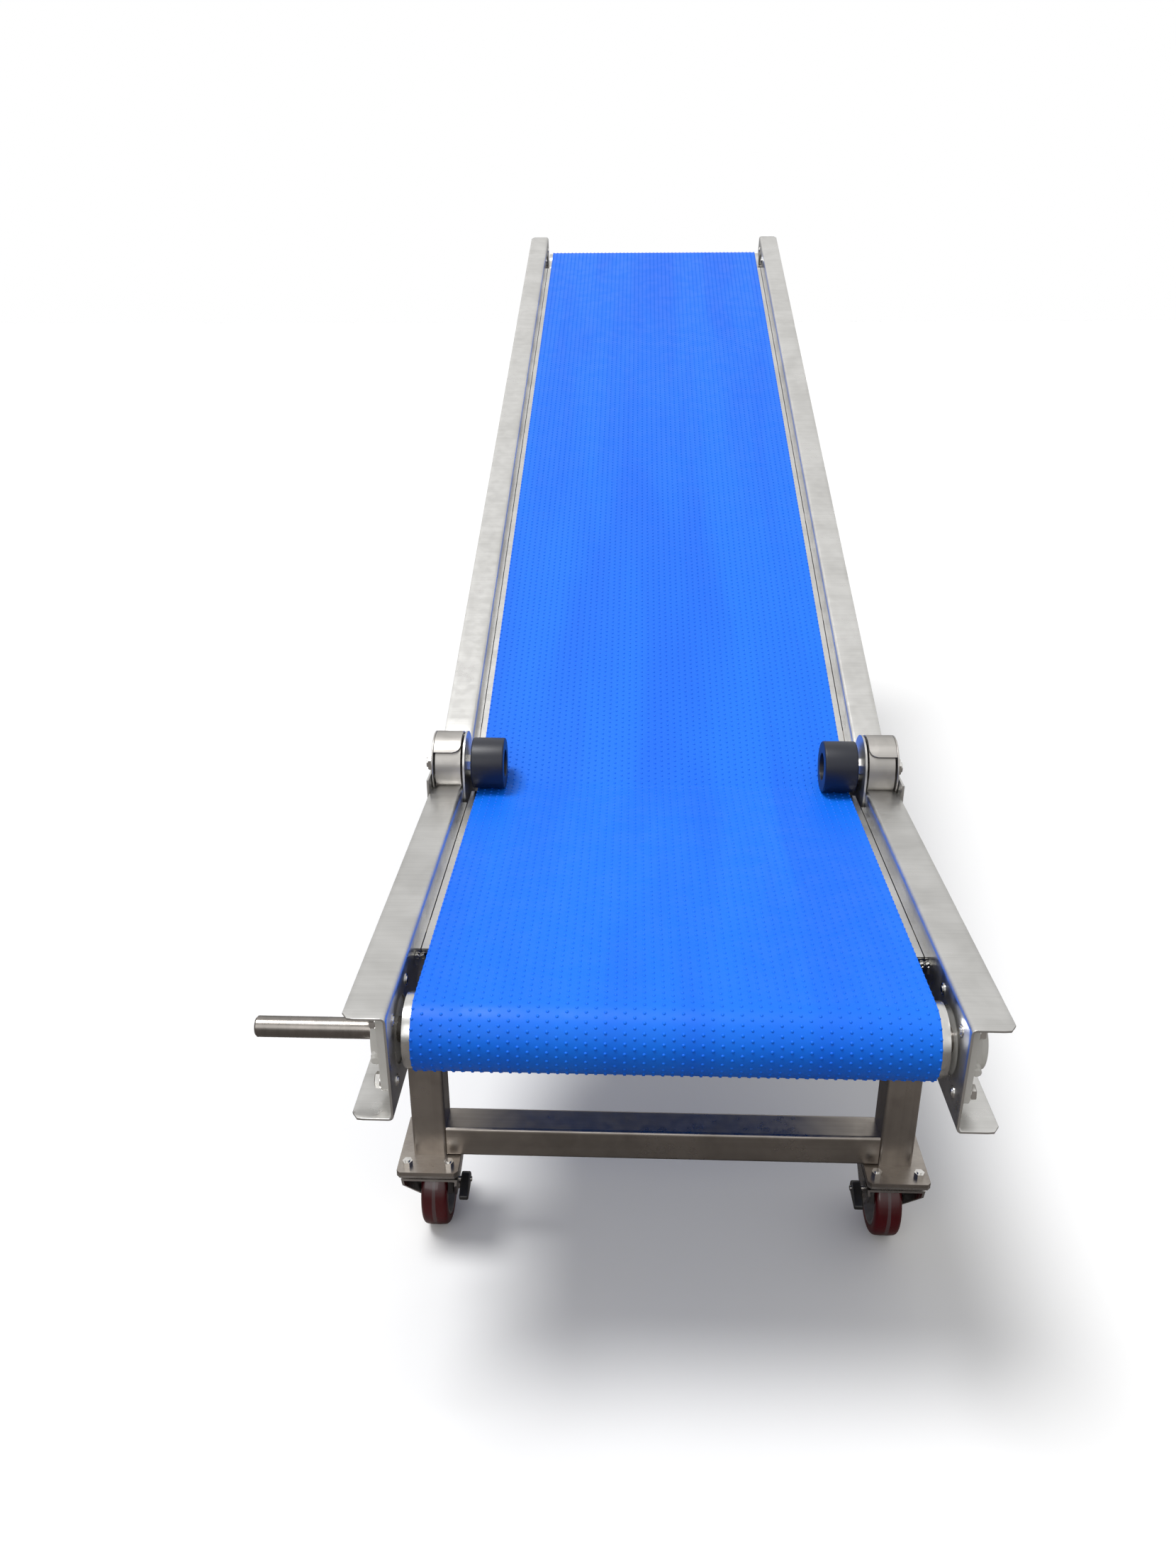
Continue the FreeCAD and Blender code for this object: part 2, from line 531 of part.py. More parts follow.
kneePlates, kneeHubs = [], []
for sideName, side in sides.items():
    name = "Knee" + sideName.capitalize()
    # The side plate of the lower frame: a disc at the knee with a tab down to the return roller.
    near, length = span(side, plateInner, f"{plateInner} + kneePlateThick")
    disc = rod(name + "PlateDisc", "X", "coverDia / 2", length, near, "kneeReach", kneeRise)
    tabPoints = [("kneeReach - coverDia / 2", kneeRise), ("kneeReach - coverDia / 2", "-channelHeight / 3"),
                 (f"kneeReach + {returnShift} - returnRollerDia", f"-{returnDrop} - returnRollerDia / 2"),
                 (f"kneeReach + {returnShift} + returnRollerDia / 2",
                  f"-{returnDrop} - returnRollerDia / 2"),
                 (f"kneeReach + {returnShift} + returnRollerDia / 2",
                  f"-{returnDrop} + returnRollerDia / 2"),
                 ("kneeReach + coverDia / 2", kneeRise)]
    tab = prism(name + "Tab", "YZ", tabPoints, near, length)
    through, depth = span(side, f"{plateInner} - cutOver", f"{plateInner} + kneePlateThick + cutOver")
    plate = cut(name + "Plate", fuse(name + "PlateBlank", [disc, tab]), [
        rod(name + "PlateBore", "X", "kneeAxleDia / 2", depth, through, "kneeReach", kneeRise),
        rod(name + "RollerBore", "X", "returnAxleDia / 2 + runningFit", depth, through,
            f"kneeReach + {returnShift}", f"-{returnDrop}")])
    kneePlates.append(plate)

    # The fixed hub: a short drum standing on the lower channel outside its web.
    hubStart, hubLength = span(side, f"{webOuter} + kneePlateGap", f"{discInner} - hubPlay")
    hub = rod(name + "HubOuter", "X", "hubDia / 2", hubLength, hubStart, "kneeReach", kneeRise)
    hubRoom = rod(name + "HubRoom", "X", "hubDia / 2 - hubWall", f"({hubLength}) + 2 * cutOver",
                  f"{hubStart} - cutOver",
                  "kneeReach", kneeRise)
    kneeHubs.append(cut(name + "Hub", hub, [hubRoom]))

    # The cover of the upper frame: a disc outside the hub and a rolled sheet over its top. Its angles
    # are counted from straight down, round by the far side, to the front edge above the hub.
    discStart, discLength = span(side, discInner, f"{discInner} + coverWall")
    rollStart, rollLength = span(side, webOuter, discInner)
    discPlate = rod(name + "CoverDisc", "X", "coverDia / 2", discLength, discStart, "0", kneeRise)
    axleHole = rod(name + "CoverBore", "X", "kneeAxleDia / 2 + runningFit", f"({discLength}) + 2 * cutOver",
                   f"{discStart} - cutOver", "0", kneeRise)
    outer = rod(name + "RollOuter", "X", "coverDia / 2", rollLength, rollStart, "0", kneeRise)
    bind(outer, Angle="coverFront")
    room = rod(name + "RollRoom", "X", "coverDia / 2 - coverWall", f"({rollLength}) + 2 * cutOver",
               f"{rollStart} - cutOver", "0", kneeRise)
    below = rod(name + "RollBelow", "X", "coverDia", f"({rollLength}) + 2 * cutOver",
                f"{rollStart} - cutOver", "0", kneeRise)
    bind(below, Angle="coverBack")
    roll = cut(name + "Roll", outer, [room, below])
    holed = cut(name + "CoverDiscHoled", discPlate, [axleHole])
    finish(f"knee_cover_{sideName}", "upper", [fuse(name + "Cover", [holed, roll])])

finish("knee_plates", "lower", kneePlates)
finish("knee_hubs", "lower", kneeHubs)

# The flat bars outside the covers, standing on the lower flanges.
bars = []
for sideName, side in sides.items():
    near, length = span(side, frameHalf, f"{frameHalf} + clampThick")
    name = "Clamp" + sideName.capitalize()
    disc = rod(name + "Disc", "X", "clampDia / 2", length, near, "kneeReach", kneeRise)
    foot = box(name + "Foot", length, "clampFoot + clampDia / 2", f"{kneeRise} + channelHeight / 3", near,
               "kneeReach - clampFoot", "-channelHeight / 3")
    bore = rod(name + "Bore", "X", "kneeAxleDia / 2", f"({length}) + 2 * cutOver", f"{near} - cutOver",
               "kneeReach", kneeRise)
    bars.append(cut(name, fuse(name + "Blank", [disc, foot]), [bore]))
finish("knee_clamp_bars", "lower", bars)

# The axles: each carries a hold-down wheel inside and is the pin of the knee's hinge outside.
axles = []
for sideName, side in sides.items():
    name = "KneeAxle" + sideName.capitalize()
    shank = span(side, f"{wheelNear} + wheelRecess - washerThick", axleEnd)
    end = span(side, f"{wheelNear} + wheelRecess - axleHeadThick", f"{wheelNear} + wheelRecess - wheelPlay")
    lock = span(side, f"{wheelFar} + wheelPlay", plateInner)
    nut = span(side, f"{frameHalf} + clampThick", f"{frameHalf} + clampThick + nutHeight")
    axles.append(fuse(name, [
        rod(name + "Shank", "X", "kneeAxleDia / 2", shank[1], shank[0], "kneeReach", kneeRise),
        rod(name + "End", "X", "axleHeadDia / 2", end[1], end[0], "kneeReach", kneeRise),
        hexagon(name + "Lock", "X", "axleNutAcross", lock[1], lock[0], "kneeReach", kneeRise),
        hexagon(name + "Nut", "X", "axleNutAcross", nut[1], nut[0], "kneeReach", kneeRise)]))
finish("knee_axles", "lower", axles)


def onCircle(radius):
    """Picks the circular edges of one radius."""
    size = float(sheet.evalExpression(tie(radius)))

    def wanted(edge):
        return isinstance(edge.Curve, Part.Circle) and abs(edge.Curve.Radius - size) < 1e-4
    return wanted


# ---------------------------------------------------------------- hold-down wheels and return rollers
for sideName, side in sides.items():
    bore = "kneeAxleDia / 2 + runningFit"
    near, far = f"{side} * {wheelNear}", f"{side} * {wheelFar}"
    floor = f"{side} * ({wheelNear} + wheelRecess)"
    wheel = turned("HoldDown" + sideName.capitalize(), [
        (near, "wheelBoreDia / 2"), (near, "wheelDia / 2"), (far, "wheelDia / 2"), (far, bore),
        (floor, bore), (floor, "wheelBoreDia / 2")], "0", "kneeReach", kneeRise)
    rounded(wheel, "wheelRound", onCircle("wheelDia / 2"))
    finish(f"hold_down_wheel_{sideName}", "lower", [wheel])


def roller(label, frame, half, along, level, stub):
    """A tube with closed ends on its own axle."""
    name = label.title().replace("_", "")
    outer, inner, bore = "returnRollerDia / 2", "(returnRollerDia / 2 - rollerWall)", "returnAxleDia / 2"
    shell = turned(name + "Shell", [
        (f"-{half}", bore), (f"-{half}", outer), (half, outer), (half, bore), (f"{half} - drumEnd", bore),
        (f"{half} - drumEnd", inner), (f"-{half} + drumEnd", inner), (f"-{half} + drumEnd", bore)],
        "0", along, level)
    axle = rod(name + "Axle", "X", "returnAxleDia / 2", f"2 * ({stub})", f"-({stub})", along, level)
    finish(label, frame, [shell, axle])


rollerHalf = "(beltWidth / 2 + rollerSpare)"
roller("knee_return_roller", "lower", rollerHalf, f"(kneeReach + {returnShift})", f"-{returnDrop}",
       f"{plateInner} + kneePlateThick")
carryLevel = f"(-({returnInner} + beltThick + {returnLift}))"
roller("upper_return_roller", "upper", rollerHalf, "carryPlace", carryLevel, "clearWidth / 2 - kneePlateGap")
hangers = []
for sideName, side in sides.items():
    near, length = span(side, "clearWidth / 2 - hangerThick", "clearWidth / 2")
    name = "Hanger" + sideName.capitalize()
    plate = prism(name + "Plate", "YZ", [
        ("carryPlace - hangerWidth / 2", f"-{returnInner} + hangerRise"),
        ("carryPlace - hangerWidth / 2", f"{carryLevel} - hangerWidth / 4"),
        ("carryPlace - hangerWidth / 4", f"{carryLevel} - hangerWidth / 2"),
        ("carryPlace + hangerWidth / 4", f"{carryLevel} - hangerWidth / 2"),
        ("carryPlace + hangerWidth / 2", f"{carryLevel} - hangerWidth / 4"),
        ("carryPlace + hangerWidth / 2", f"-{returnInner} + hangerRise")], near, length)
    bore = rod(name + "Bore", "X", "returnAxleDia / 2 + runningFit", f"({length}) + 2 * cutOver",
               f"{near} - cutOver",
               "carryPlace", carryLevel)
    hangers.append(cut(name, plate, [bore]))
finish("return_roller_hangers", "upper", hangers)


# ---------------------------------------------------------------- legs
def tube(name, across, centreX, centreY, bottom, height):
    """An upright square tube with rounded corners."""
    half = f"({across}) / 2"
    points = [(f"{centreX} + {a} * {half}", f"{centreY} + {b} * {half}") for a, b in corners]
    body = rounded(prism(name, "XY", points, bottom, height), "tubeRound", alongAxis(Vector(0, 0, 1)))
    room = box(name + "Room", f"({across}) - 2 * tubeWall", f"({across}) - 2 * tubeWall",
               f"({height}) + 2 * cutOver",
               f"{centreX} - {half} + tubeWall", f"{centreY} - {half} + tubeWall", f"({bottom}) - cutOver")
    return cut(name + "Hollow", body, [room])


def footPlate(name, centreX, centreY, top, thick):
    """A plate with cut corners and the four holes of a caster."""
    halfX, halfY = "plateWidth / 2", "plateLength / 2"
    points = []
    for a, b in corners:
        near = (f"{centreX} + {a} * ({halfX} - plateCut)", f"{centreY} + {b} * {halfY}")
        far = (f"{centreX} + {a} * {halfX}", f"{centreY} + {b} * ({halfY} - plateCut)")
        points += [near, far] if a * b < 0 else [far, near]
    plate = prism(name, "XY", points, f"({top}) - ({thick})", thick)
    holes = []
    for index, (a, b) in enumerate(corners):
        holes.append(rod(f"{name}Hole{index}", "Z", "casterBoltDia / 2 + boltPlay",
                         f"({thick}) + 2 * cutOver",
                         f"{centreX} + {a} * casterBoltX / 2", f"{centreY} + {b} * casterBoltY / 2",
                         f"({top}) - ({thick}) - cutOver"))
    return cut(name + "Drilled", plate, holes)


def headPlate(name, centreX, centreY, top):
    """The plate at the top of a leg, bolted to a channel's lower flange."""
    plate = box(name, "tubeSide", "legPlateLength", "legPlate", f"{centreX} - tubeSide / 2",
                f"{centreY} - legPlateLength / 2", f"{top} - legPlate")
    holes = [rod(f"{name}Hole{step}", "Z", "boltDia / 2 + boltPlay", "legPlate + 2 * cutOver", centreX,
                 f"{centreY} + {step - 1} * legBoltPitch / 2",
                 f"{top} - legPlate - cutOver") for step in (0, 2)]
    return cut(name + "Drilled", plate, holes)


def flangeBolts(name, side, centreY, top):
    """Bolts up through a head plate and the flange above it."""
    bolts = []
    centreX = f"{side} * {legCentreX}"
    for step in (-1, 1):
        along = f"{centreY} + {step} * legBoltPitch / 2"
        tag = f"{name}{step + 1}"
        under = f"{top} - legPlate"
        bolts.append(fuse(tag, [
            hexagon(tag + "Head", "Z", "headAcross", "headHeight", centreX, along, f"{under} - headHeight"),
            rod(tag + "Shank", "Z", "boltDia / 2", "legPlate + sheetThick + nutHeight + boltTail", centreX,
                along, under),
            hexagon(tag + "Nut", "Z", "headAcross", "nutHeight", centreX, along, f"{top} + sheetThick")]))
    return bolts


def casterBolts(name, centreX, centreY, top, grip):
    """Bolts up through a caster's plate and a foot plate, heads below, nuts on top."""
    bolts = []
    for index, (a, b) in enumerate(corners):
        x = f"{centreX} + {a} * casterBoltX / 2"
        y = f"{centreY} + {b} * casterBoltY / 2"
        tag = f"{name}{index}"
        bolts.append(fuse(tag, [
            rod(tag + "Head", "Z", "boltHeadDia / 2", "boltHeadHeight", x, y,
                f"{top} - ({grip}) - boltHeadHeight"),
            rod(tag + "Shank", "Z", "casterBoltDia / 2", f"({grip}) + nutHeight + boltTail", x, y,
                f"{top} - ({grip})"),
            hexagon(tag + "Nut", "Z", "casterNutAcross", "nutHeight", x, y, top)]))
    return bolts


legTop = "(-channelHeight)"
legBottom = "(-channelHeight - legLength)"
frontBolts = []
for sideName, side in sides.items():
    x = f"{side} * {legCentreX}"
    name = "FrontLeg" + sideName.capitalize()
    column = tube(name, "tubeSide", x, legCentreY, legBottom, "legLength - legPlate")
    leg = fuse(name + "Welded", [column, headPlate(name + "Head", x, legCentreY, legTop),
                                 footPlate(name + "Foot", x, legCentreY, legBottom, "legPlate")])
    finish(f"front_leg_{sideName}", "lower", [leg])
    frontBolts += flangeBolts(f"FrontFlangeBolt{sideName.capitalize()}", side, legCentreY, legTop)
    frontBolts += casterBolts(f"FrontCasterBolt{sideName.capitalize()}", x, legCentreY, legBottom,
                              "legPlate + plateThick")


def crossbar(name, half, across, centreY, bottom):
    """A square tube laid across between two legs."""
    size = f"({across}) / 2"
    points = [(f"{centreY} + {a} * {size}", f"({bottom}) + {size} + {b} * {size}") for a, b in corners]
    body = rounded(prism(name, "YZ", points, f"-({half})", f"2 * ({half})"), "tubeRound",
                   alongAxis(Vector(1, 0, 0)))
    room = box(name + "Room", f"2 * ({half}) + 2 * cutOver", f"({across}) - 2 * tubeWall",
               f"({across}) - 2 * tubeWall",
               f"-({half}) - cutOver", f"{centreY} - {size} + tubeWall", f"({bottom}) + tubeWall")
    return cut(name + "Hollow", body, [room])


finish("front_leg_crossbar", "lower",
       [crossbar("FrontBar", "clearWidth / 2", "tubeSide", legCentreY, legBottom)])
finish("front_stand_bolts", "lower", frontBolts)

# ---------------------------------------------------------------- rear stand: hinged sleeves, sliding posts
sleeveStart = "(-sleeveGap)"
pivots, pins, ears, sleeves, screws = [], [], [], [], []
for sideName, side in sides.items():
    x = f"{side} * {legCentreX}"
    name = "Rear" + sideName.capitalize()
    earPieces = [headPlate(name + "Head", x, "rearPivot", "(-channelHeight)")]
    tools = []
    for tag, near, far in (("In", "clearWidth / 2", "clearWidth / 2 + earThick"),
                           ("Out", f"{frameHalf} - earThick", frameHalf)):
        start, length = span(side, near, far)
        earPieces.append(rod(name + "Ear" + tag, "X", "earDia / 2", length, start, "rearPivot",
                             f"-{pivotLevel}"))
        earPieces.append(box(name + "Web" + tag, length, "earDia", "pivotDrop - legPlate", start,
                             "rearPivot - earDia / 2", f"-{pivotLevel}"))
    acrossStart, acrossLength = span(side, "clearWidth / 2 - cutOver", f"{frameHalf} + cutOver")
    hole = rod(name + "EarBore", "X", "pivotPinDia / 2", acrossLength, acrossStart, "rearPivot",
               f"-{pivotLevel}")
    ears.append(cut(name + "Bracket", fuse(name + "BracketBlank", earPieces), [hole]))
    pinStart, pinLength = span(side, "clearWidth / 2 - pinTail", f"{frameHalf} + pinTail")
    pins.append(rod(name + "Pin", "X", "pivotPinDia / 2", pinLength, pinStart, "rearPivot",
                    f"-{pivotLevel}"))

    tongueStart, tongueLength = span(side, f"{legCentreX} - tongueWidth / 2",
                                     f"{legCentreX} + tongueWidth / 2")
    tongue = fuse(name + "Tongue", [
        rod(name + "TongueEye", "X", "earDia / 2", tongueLength, tongueStart, "0", "0"),
        box(name + "TongueShank", tongueLength, "earDia", "sleeveGap", tongueStart, "-earDia / 2",
            sleeveStart)])
    eye = rod(name + "TongueBore", "X", "pivotPinDia / 2 + runningFit", f"({tongueLength}) + 2 * cutOver",
              f"{tongueStart} - cutOver", "0", "0")
    lid = box(name + "Lid", "tubeSide - tubeWall", "tubeSide - tubeWall", "legPlate",
              f"{x} - (tubeSide - tubeWall) / 2", "-(tubeSide - tubeWall) / 2", f"{sleeveStart} - legPlate")
    shellTube = tube(name + "Sleeve", "tubeSide", x, "0", f"{sleeveStart} - sleeveLength", "sleeveLength")
    screwHole = span(side, f"{legCentreX} + postSide / 2 - cutOver", f"{frameHalf} + cutOver")
    threaded = rod(name + "ScrewHole", "X", "boltDia / 2", screwHole[1], screwHole[0], "0",
                   f"{sleeveStart} - sleeveLength + clampHeight")
    sleeve = cut(name + "SleeveBored", fuse(name + "SleeveWelded", [tongue, lid, shellTube]), [eye,
                                                                                               threaded])
    finish(f"rear_sleeve_{sideName}", "rear", [sleeve])
    shankStart, shankLength = span(side, f"{legCentreX} + postSide / 2 + screwGap",
                                   f"{frameHalf} + knobStandOff")
    knobStart, knobLength = span(side, f"{frameHalf} + knobStandOff",
                                 f"{frameHalf} + knobStandOff + knobLength")
    level = f"{sleeveStart} - sleeveLength + clampHeight"
    screws.append(fuse(name + "Screw", [
        rod(name + "Shank", "X", "boltDia / 2", shankLength, shankStart, "0", level),
        hexagon(name + "Knob", "X", "knobAcross", knobLength, knobStart, "0", level)]))
finish("rear_pivot_brackets", "upper", ears)
finish("rear_pivot_pins", "upper", pins)
finish("rear_sleeve_crossbar", "rear", [crossbar("SleeveBar", "clearWidth / 2", "tubeSide", "0",
                                                 f"{sleeveStart} - rearBarDrop - tubeSide")])
finish("rear_clamp_screws", "rear", screws)

postFoot = "(casterHeight + legPlate)"
rearBolts, rearPosts = [], []
for sideName, side in sides.items():
    x = f"{side} * {legCentreX}"
    name = "Post" + sideName.capitalize()
    column = tube(name, "postSide", x, "0", postFoot, "postLength")
    foot = footPlate(name + "Foot", x, "0", postFoot, "legPlate")
    rearPosts.append(fuse(name + "Welded", [column, foot]))
    rearBolts += casterBolts(f"RearCasterBolt{sideName.capitalize()}", x, "0", postFoot,
                             "legPlate + plateThick")
rearPosts.append(crossbar("PostBar", f"({legCentreX} - postSide / 2)", "postSide", "0", postFoot))
finish("rear_post_frame", "rearFloor", rearPosts)
finish("rear_caster_bolts", "rearFloor", rearBolts)


# ---------------------------------------------------------------- casters
axleDrop = "(casterHeight - casterWheelDia / 2)"
crownTop = "(plateThick + racewayDepth)"


def casterPlate(name, x, y):
    """The fixed part of a caster: its top plate, the upper race and the kingpin."""
    top = footPlate(name + "Top", x, y, "casterHeight", "plateThick")
    race = rod(name + "Race", "Z", "racewayDia / 2", "racewayDepth - swivelGap", x, y,
               f"casterHeight - {crownTop} + swivelGap")
    kingpin = rod(name + "Kingpin", "Z", "kingpinDia / 2", "racewayDepth + forkThick + kingpinTail", x, y,
                  f"casterHeight - {crownTop} - forkThick - kingpinTail")
    return fuse(name, [top, race, kingpin])


def caster(corner, x, y, brakeSide):
    """The turning parts of one caster, about the centre of its top plate: fork, axle, wheel and brake."""
    frame = (x, y, "casterHeight", None)
    name = "Caster" + corner.title().replace("_", "")
    top, bottom = f"-{crownTop}", f"-({axleDrop} + forkLip)"
    outerTop, outerBottom = "forkTop / 2", "forkBottom / 2"
    profile = [(f"-{outerTop}", top), (outerTop, top), (outerBottom, bottom),
               (f"{outerBottom} - forkThick", bottom), (f"{outerTop} - forkThick", f"{top} - forkThick"),
               (f"-({outerTop} - forkThick)", f"{top} - forkThick"),
               (f"-({outerBottom} - forkThick)", bottom), (f"-{outerBottom}", bottom)]
    bent = prism(name + "Bent", "XZ", profile, "-forkDepth", "2 * forkDepth")
    side = [("-forkDepth / 2", f"{top} + cutOver"), ("-forkDepth / 2", f"{top} - flankDrop"),
            ("casterTrail - forkLip", f"{bottom} + forkLip / 2"), ("casterTrail - forkLip / 2", bottom),
            ("casterTrail + forkLip / 2", bottom), ("casterTrail + forkLip", f"{bottom} + forkLip / 2"),
            ("forkDepth / 2 + flankSwell", f"{top} - flankBack"), ("forkDepth / 2", f"{top} + cutOver")]
    flank = prism(name + "Flank", "YZ", side, "-forkTop", "2 * forkTop")
    bore = rod(name + "AxleBore", "X", "casterAxleDia / 2", "2 * forkTop", "-forkTop", "casterTrail",
               f"-{axleDrop}")
    pinHole = rod(name + "KingHole", "Z", "kingpinDia / 2 + runningFit", "forkThick + 2 * cutOver", "0", "0",
                  f"{top} - forkThick - cutOver")
    holes = [bore, pinHole]
    if brakeSide:
        start, length = span(brakeSide, "pedalNear - pedalSeat", "pedalFar + pedalPinTail")
        holes.append(rod(name + "PedalHole", "X", "pedalPinDia / 2", length, start, "pedalPlace",
                         "-pedalDrop"))
    fork = cut(name + "Fork", common(name + "Blank", bent, flank), holes)
    reach = "(forkBottom / 2 + axleTailCaster)"
    axle = fuse(name + "Axle", [
        rod(name + "AxleShank", "X", "casterAxleDia / 2", f"2 * {reach}", f"-{reach}", "casterTrail",
            f"-{axleDrop}"),
        hexagon(name + "AxleHead", "X", "headAcross", "headHeight", f"-{reach}", "casterTrail",
                f"-{axleDrop}"),
        hexagon(name + "AxleNut", "X", "headAcross", "headHeight", f"{reach} - headHeight", "casterTrail",
                f"-{axleDrop}")])
    forkParts = [fork, axle]
    if brakeSide:
        forkParts.append(rod(name + "PedalPin", "X", "pedalPinDia / 2", length, start, "pedalPlace",
                             "-pedalDrop"))
    finish(f"caster_fork_{corner}", frame, forkParts)

    inner = "(casterWheelDia / 2 - tyreThick)"
    wheelFrame = (x, f"({y}) + casterTrail", f"casterHeight - {axleDrop}", None)
    core = turned(name + "Core", [
        ("-coreWidth / 2", "casterAxleDia / 2 + runningFit"), ("-coreWidth / 2",
                                                               "casterAxleDia + coreHubStep"),
        ("-rimWall", "casterAxleDia + coreWebStep"), ("-rimWall", f"{inner} - rimWall"),
        ("-(treadWidth / 2 - rimInset)", f"{inner} - rimWall"), ("-(treadWidth / 2 - rimInset)", inner),
        ("treadWidth / 2 - rimInset", inner), ("treadWidth / 2 - rimInset", f"{inner} - rimWall"),
        ("rimWall", f"{inner} - rimWall"), ("rimWall", "casterAxleDia + coreWebStep"),
        ("coreWidth / 2", "casterAxleDia + coreHubStep"), ("coreWidth / 2",
                                                           "casterAxleDia / 2 + runningFit")])
    tyre = turned(name + "Tyre", [
        ("-treadWidth / 2", inner), ("-treadWidth / 2", "casterWheelDia / 2"),
        ("treadWidth / 2", "casterWheelDia / 2"), ("treadWidth / 2", inner)])
    rounded(tyre, "tyreRound", onCircle("casterWheelDia / 2"))
    finish(f"caster_wheel_{corner}", wheelFrame, [core, tyre])

    if brakeSide:
        start, length = span(brakeSide, "pedalNear", "pedalFar")
        boss = rod(name + "PedalBoss", "X", "pedalBossDia / 2", length, start, "pedalPlace", "-pedalDrop")
        arm = prism(name + "PedalArm", "YZ", [
            ("pedalPlace", "-pedalDrop + pedalBossDia / 2"), ("pedalPlace - pedalReach",
                                                              "-pedalDrop - padHigh"),
            ("pedalPlace - pedalReach", "-pedalDrop - padLow"), ("pedalPlace",
                                                                 "-pedalDrop - pedalBossDia / 2")],
            start, length)
        eye = rod(name + "PedalEye", "X", "pedalPinDia / 2 + runningFit", f"({length}) + 2 * cutOver",
                  f"{start} - cutOver",
                  "pedalPlace", "-pedalDrop")
        finish(f"brake_pedal_{corner}", frame, [cut(name + "Pedal", fuse(name + "PedalBlank", [boss, arm]),
                                                    [eye])])


stands = {"front": ("lowerFloor", f"{legCentreY} - driveInset"), "rear": ("rearFloor", pivotY)}
frames["lowerFloor"] = ("0", "0", "0", None)
for standName, (frame, along) in stands.items():
    plates = []
    for sideName, side in sides.items():
        name = f"{standName.capitalize()}Plate{sideName.capitalize()}"
        plates.append(casterPlate(name, f"{side} * {legCentreX}", along if standName == "front" else "0"))
        brake = -side if standName == "front" else 0
        caster(f"{standName}_{sideName}", f"{side} * {legCentreX}", along, brake)
    finish(f"{standName}_caster_plates", frame, plates)

# ---------------------------------------------------------------- check and write
doc.recompute()
problems = [thing.Name for thing in doc.Objects if "Invalid" in thing.State or "Error" in thing.State]
problems += [part.Label for part in subParts if part.Shape.isNull() or not part.Shape.isValid()]
if problems:
    raise RuntimeError("these did not build: " + ", ".join(problems))
os.makedirs("parts", exist_ok=True)
for part in subParts:
    part.Shape.exportStep(f"parts/{part.Label}.step")
print(len(subParts), "sub-parts,", sum(len(part.Shape.Solids) for part in subParts), "solids")
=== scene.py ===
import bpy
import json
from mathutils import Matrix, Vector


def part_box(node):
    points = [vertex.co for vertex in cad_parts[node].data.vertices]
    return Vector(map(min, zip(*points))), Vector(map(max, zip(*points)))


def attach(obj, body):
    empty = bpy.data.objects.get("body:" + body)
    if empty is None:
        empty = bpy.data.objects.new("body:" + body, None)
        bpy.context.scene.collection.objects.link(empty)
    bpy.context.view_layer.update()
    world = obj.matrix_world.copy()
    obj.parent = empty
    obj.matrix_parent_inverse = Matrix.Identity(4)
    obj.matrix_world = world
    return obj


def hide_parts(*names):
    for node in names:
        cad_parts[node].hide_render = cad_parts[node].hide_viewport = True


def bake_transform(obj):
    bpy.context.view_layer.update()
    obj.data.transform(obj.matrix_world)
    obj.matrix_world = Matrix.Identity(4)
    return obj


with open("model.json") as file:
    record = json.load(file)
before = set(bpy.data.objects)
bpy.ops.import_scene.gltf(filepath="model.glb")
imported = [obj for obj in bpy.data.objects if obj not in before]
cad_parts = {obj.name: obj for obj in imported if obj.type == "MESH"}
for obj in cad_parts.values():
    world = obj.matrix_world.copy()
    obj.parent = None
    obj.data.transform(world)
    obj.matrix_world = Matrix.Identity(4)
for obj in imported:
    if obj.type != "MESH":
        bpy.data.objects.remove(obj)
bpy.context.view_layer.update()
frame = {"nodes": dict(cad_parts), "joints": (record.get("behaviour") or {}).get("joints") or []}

import json
import math
import bmesh
import bpy
import numpy as np
from mathutils import Matrix, Vector

joints = {joint["name"]: joint for joint in frame["joints"]}
knee = np.array(joints["knee"]["pos_m"])
slope = np.array(joints["take_up_slide"]["axis"])
driveAxis = np.array(joints["drive_drum_spin"]["pos_m"])
tailAxis = np.array(joints["tail_drum_spin"]["pos_m"])
kneeRoller = np.array(joints["knee_roller_spin"]["pos_m"])
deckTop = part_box("lower_channel_left")[1].z
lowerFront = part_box("lower_channel_left")[0].y
lift = np.array([0.0, -slope[2], slope[1]])
incline = math.atan2(slope[2], slope[1])
kneeRise = knee[2] - deckTop
upperStart = knee - kneeRise * lift
kneeCentre = knee * np.array([0.0, 1.0, 1.0])
upright = np.array([0.0, 0.0, 1.0])
sides = {"left": -1, "right": 1}
tiny = 1e-6


# Places: x across, s along the run from the knee, n above the flange tops.
def onLower(points):
    return points + np.array([0.0, knee[1], deckTop])


def onUpper(points):
    x, s, n = np.moveaxis(points, -1, 0)
    return upperStart + x[..., None] * np.array([1.0, 0.0, 0.0]) + s[..., None] * slope + n[..., None] * lift


def lowerPlace(point):
    return point - np.array([0.0, knee[1], deckTop])


def upperPlace(point):
    gap = point - upperStart
    return np.array([gap[0], gap @ slope, gap @ lift])


# Surfaces are arrays: a patch is (points, faces).
def gridPatch(points, closedU=False, closedV=False):
    # Quads between neighbouring rows and columns of a grid of points.
    rows, columns = points.shape[:2]
    index = np.arange(rows * columns).reshape(rows, columns)
    if closedU:
        index = np.concatenate([index, index[:1]])
    if closedV:
        index = np.concatenate([index, index[:, :1]], axis=1)
    quads = np.stack([index[:-1, :-1], index[1:, :-1], index[1:, 1:], index[:-1, 1:]], axis=-1)
    return points.reshape(-1, 3), quads.reshape(-1, 4).tolist()


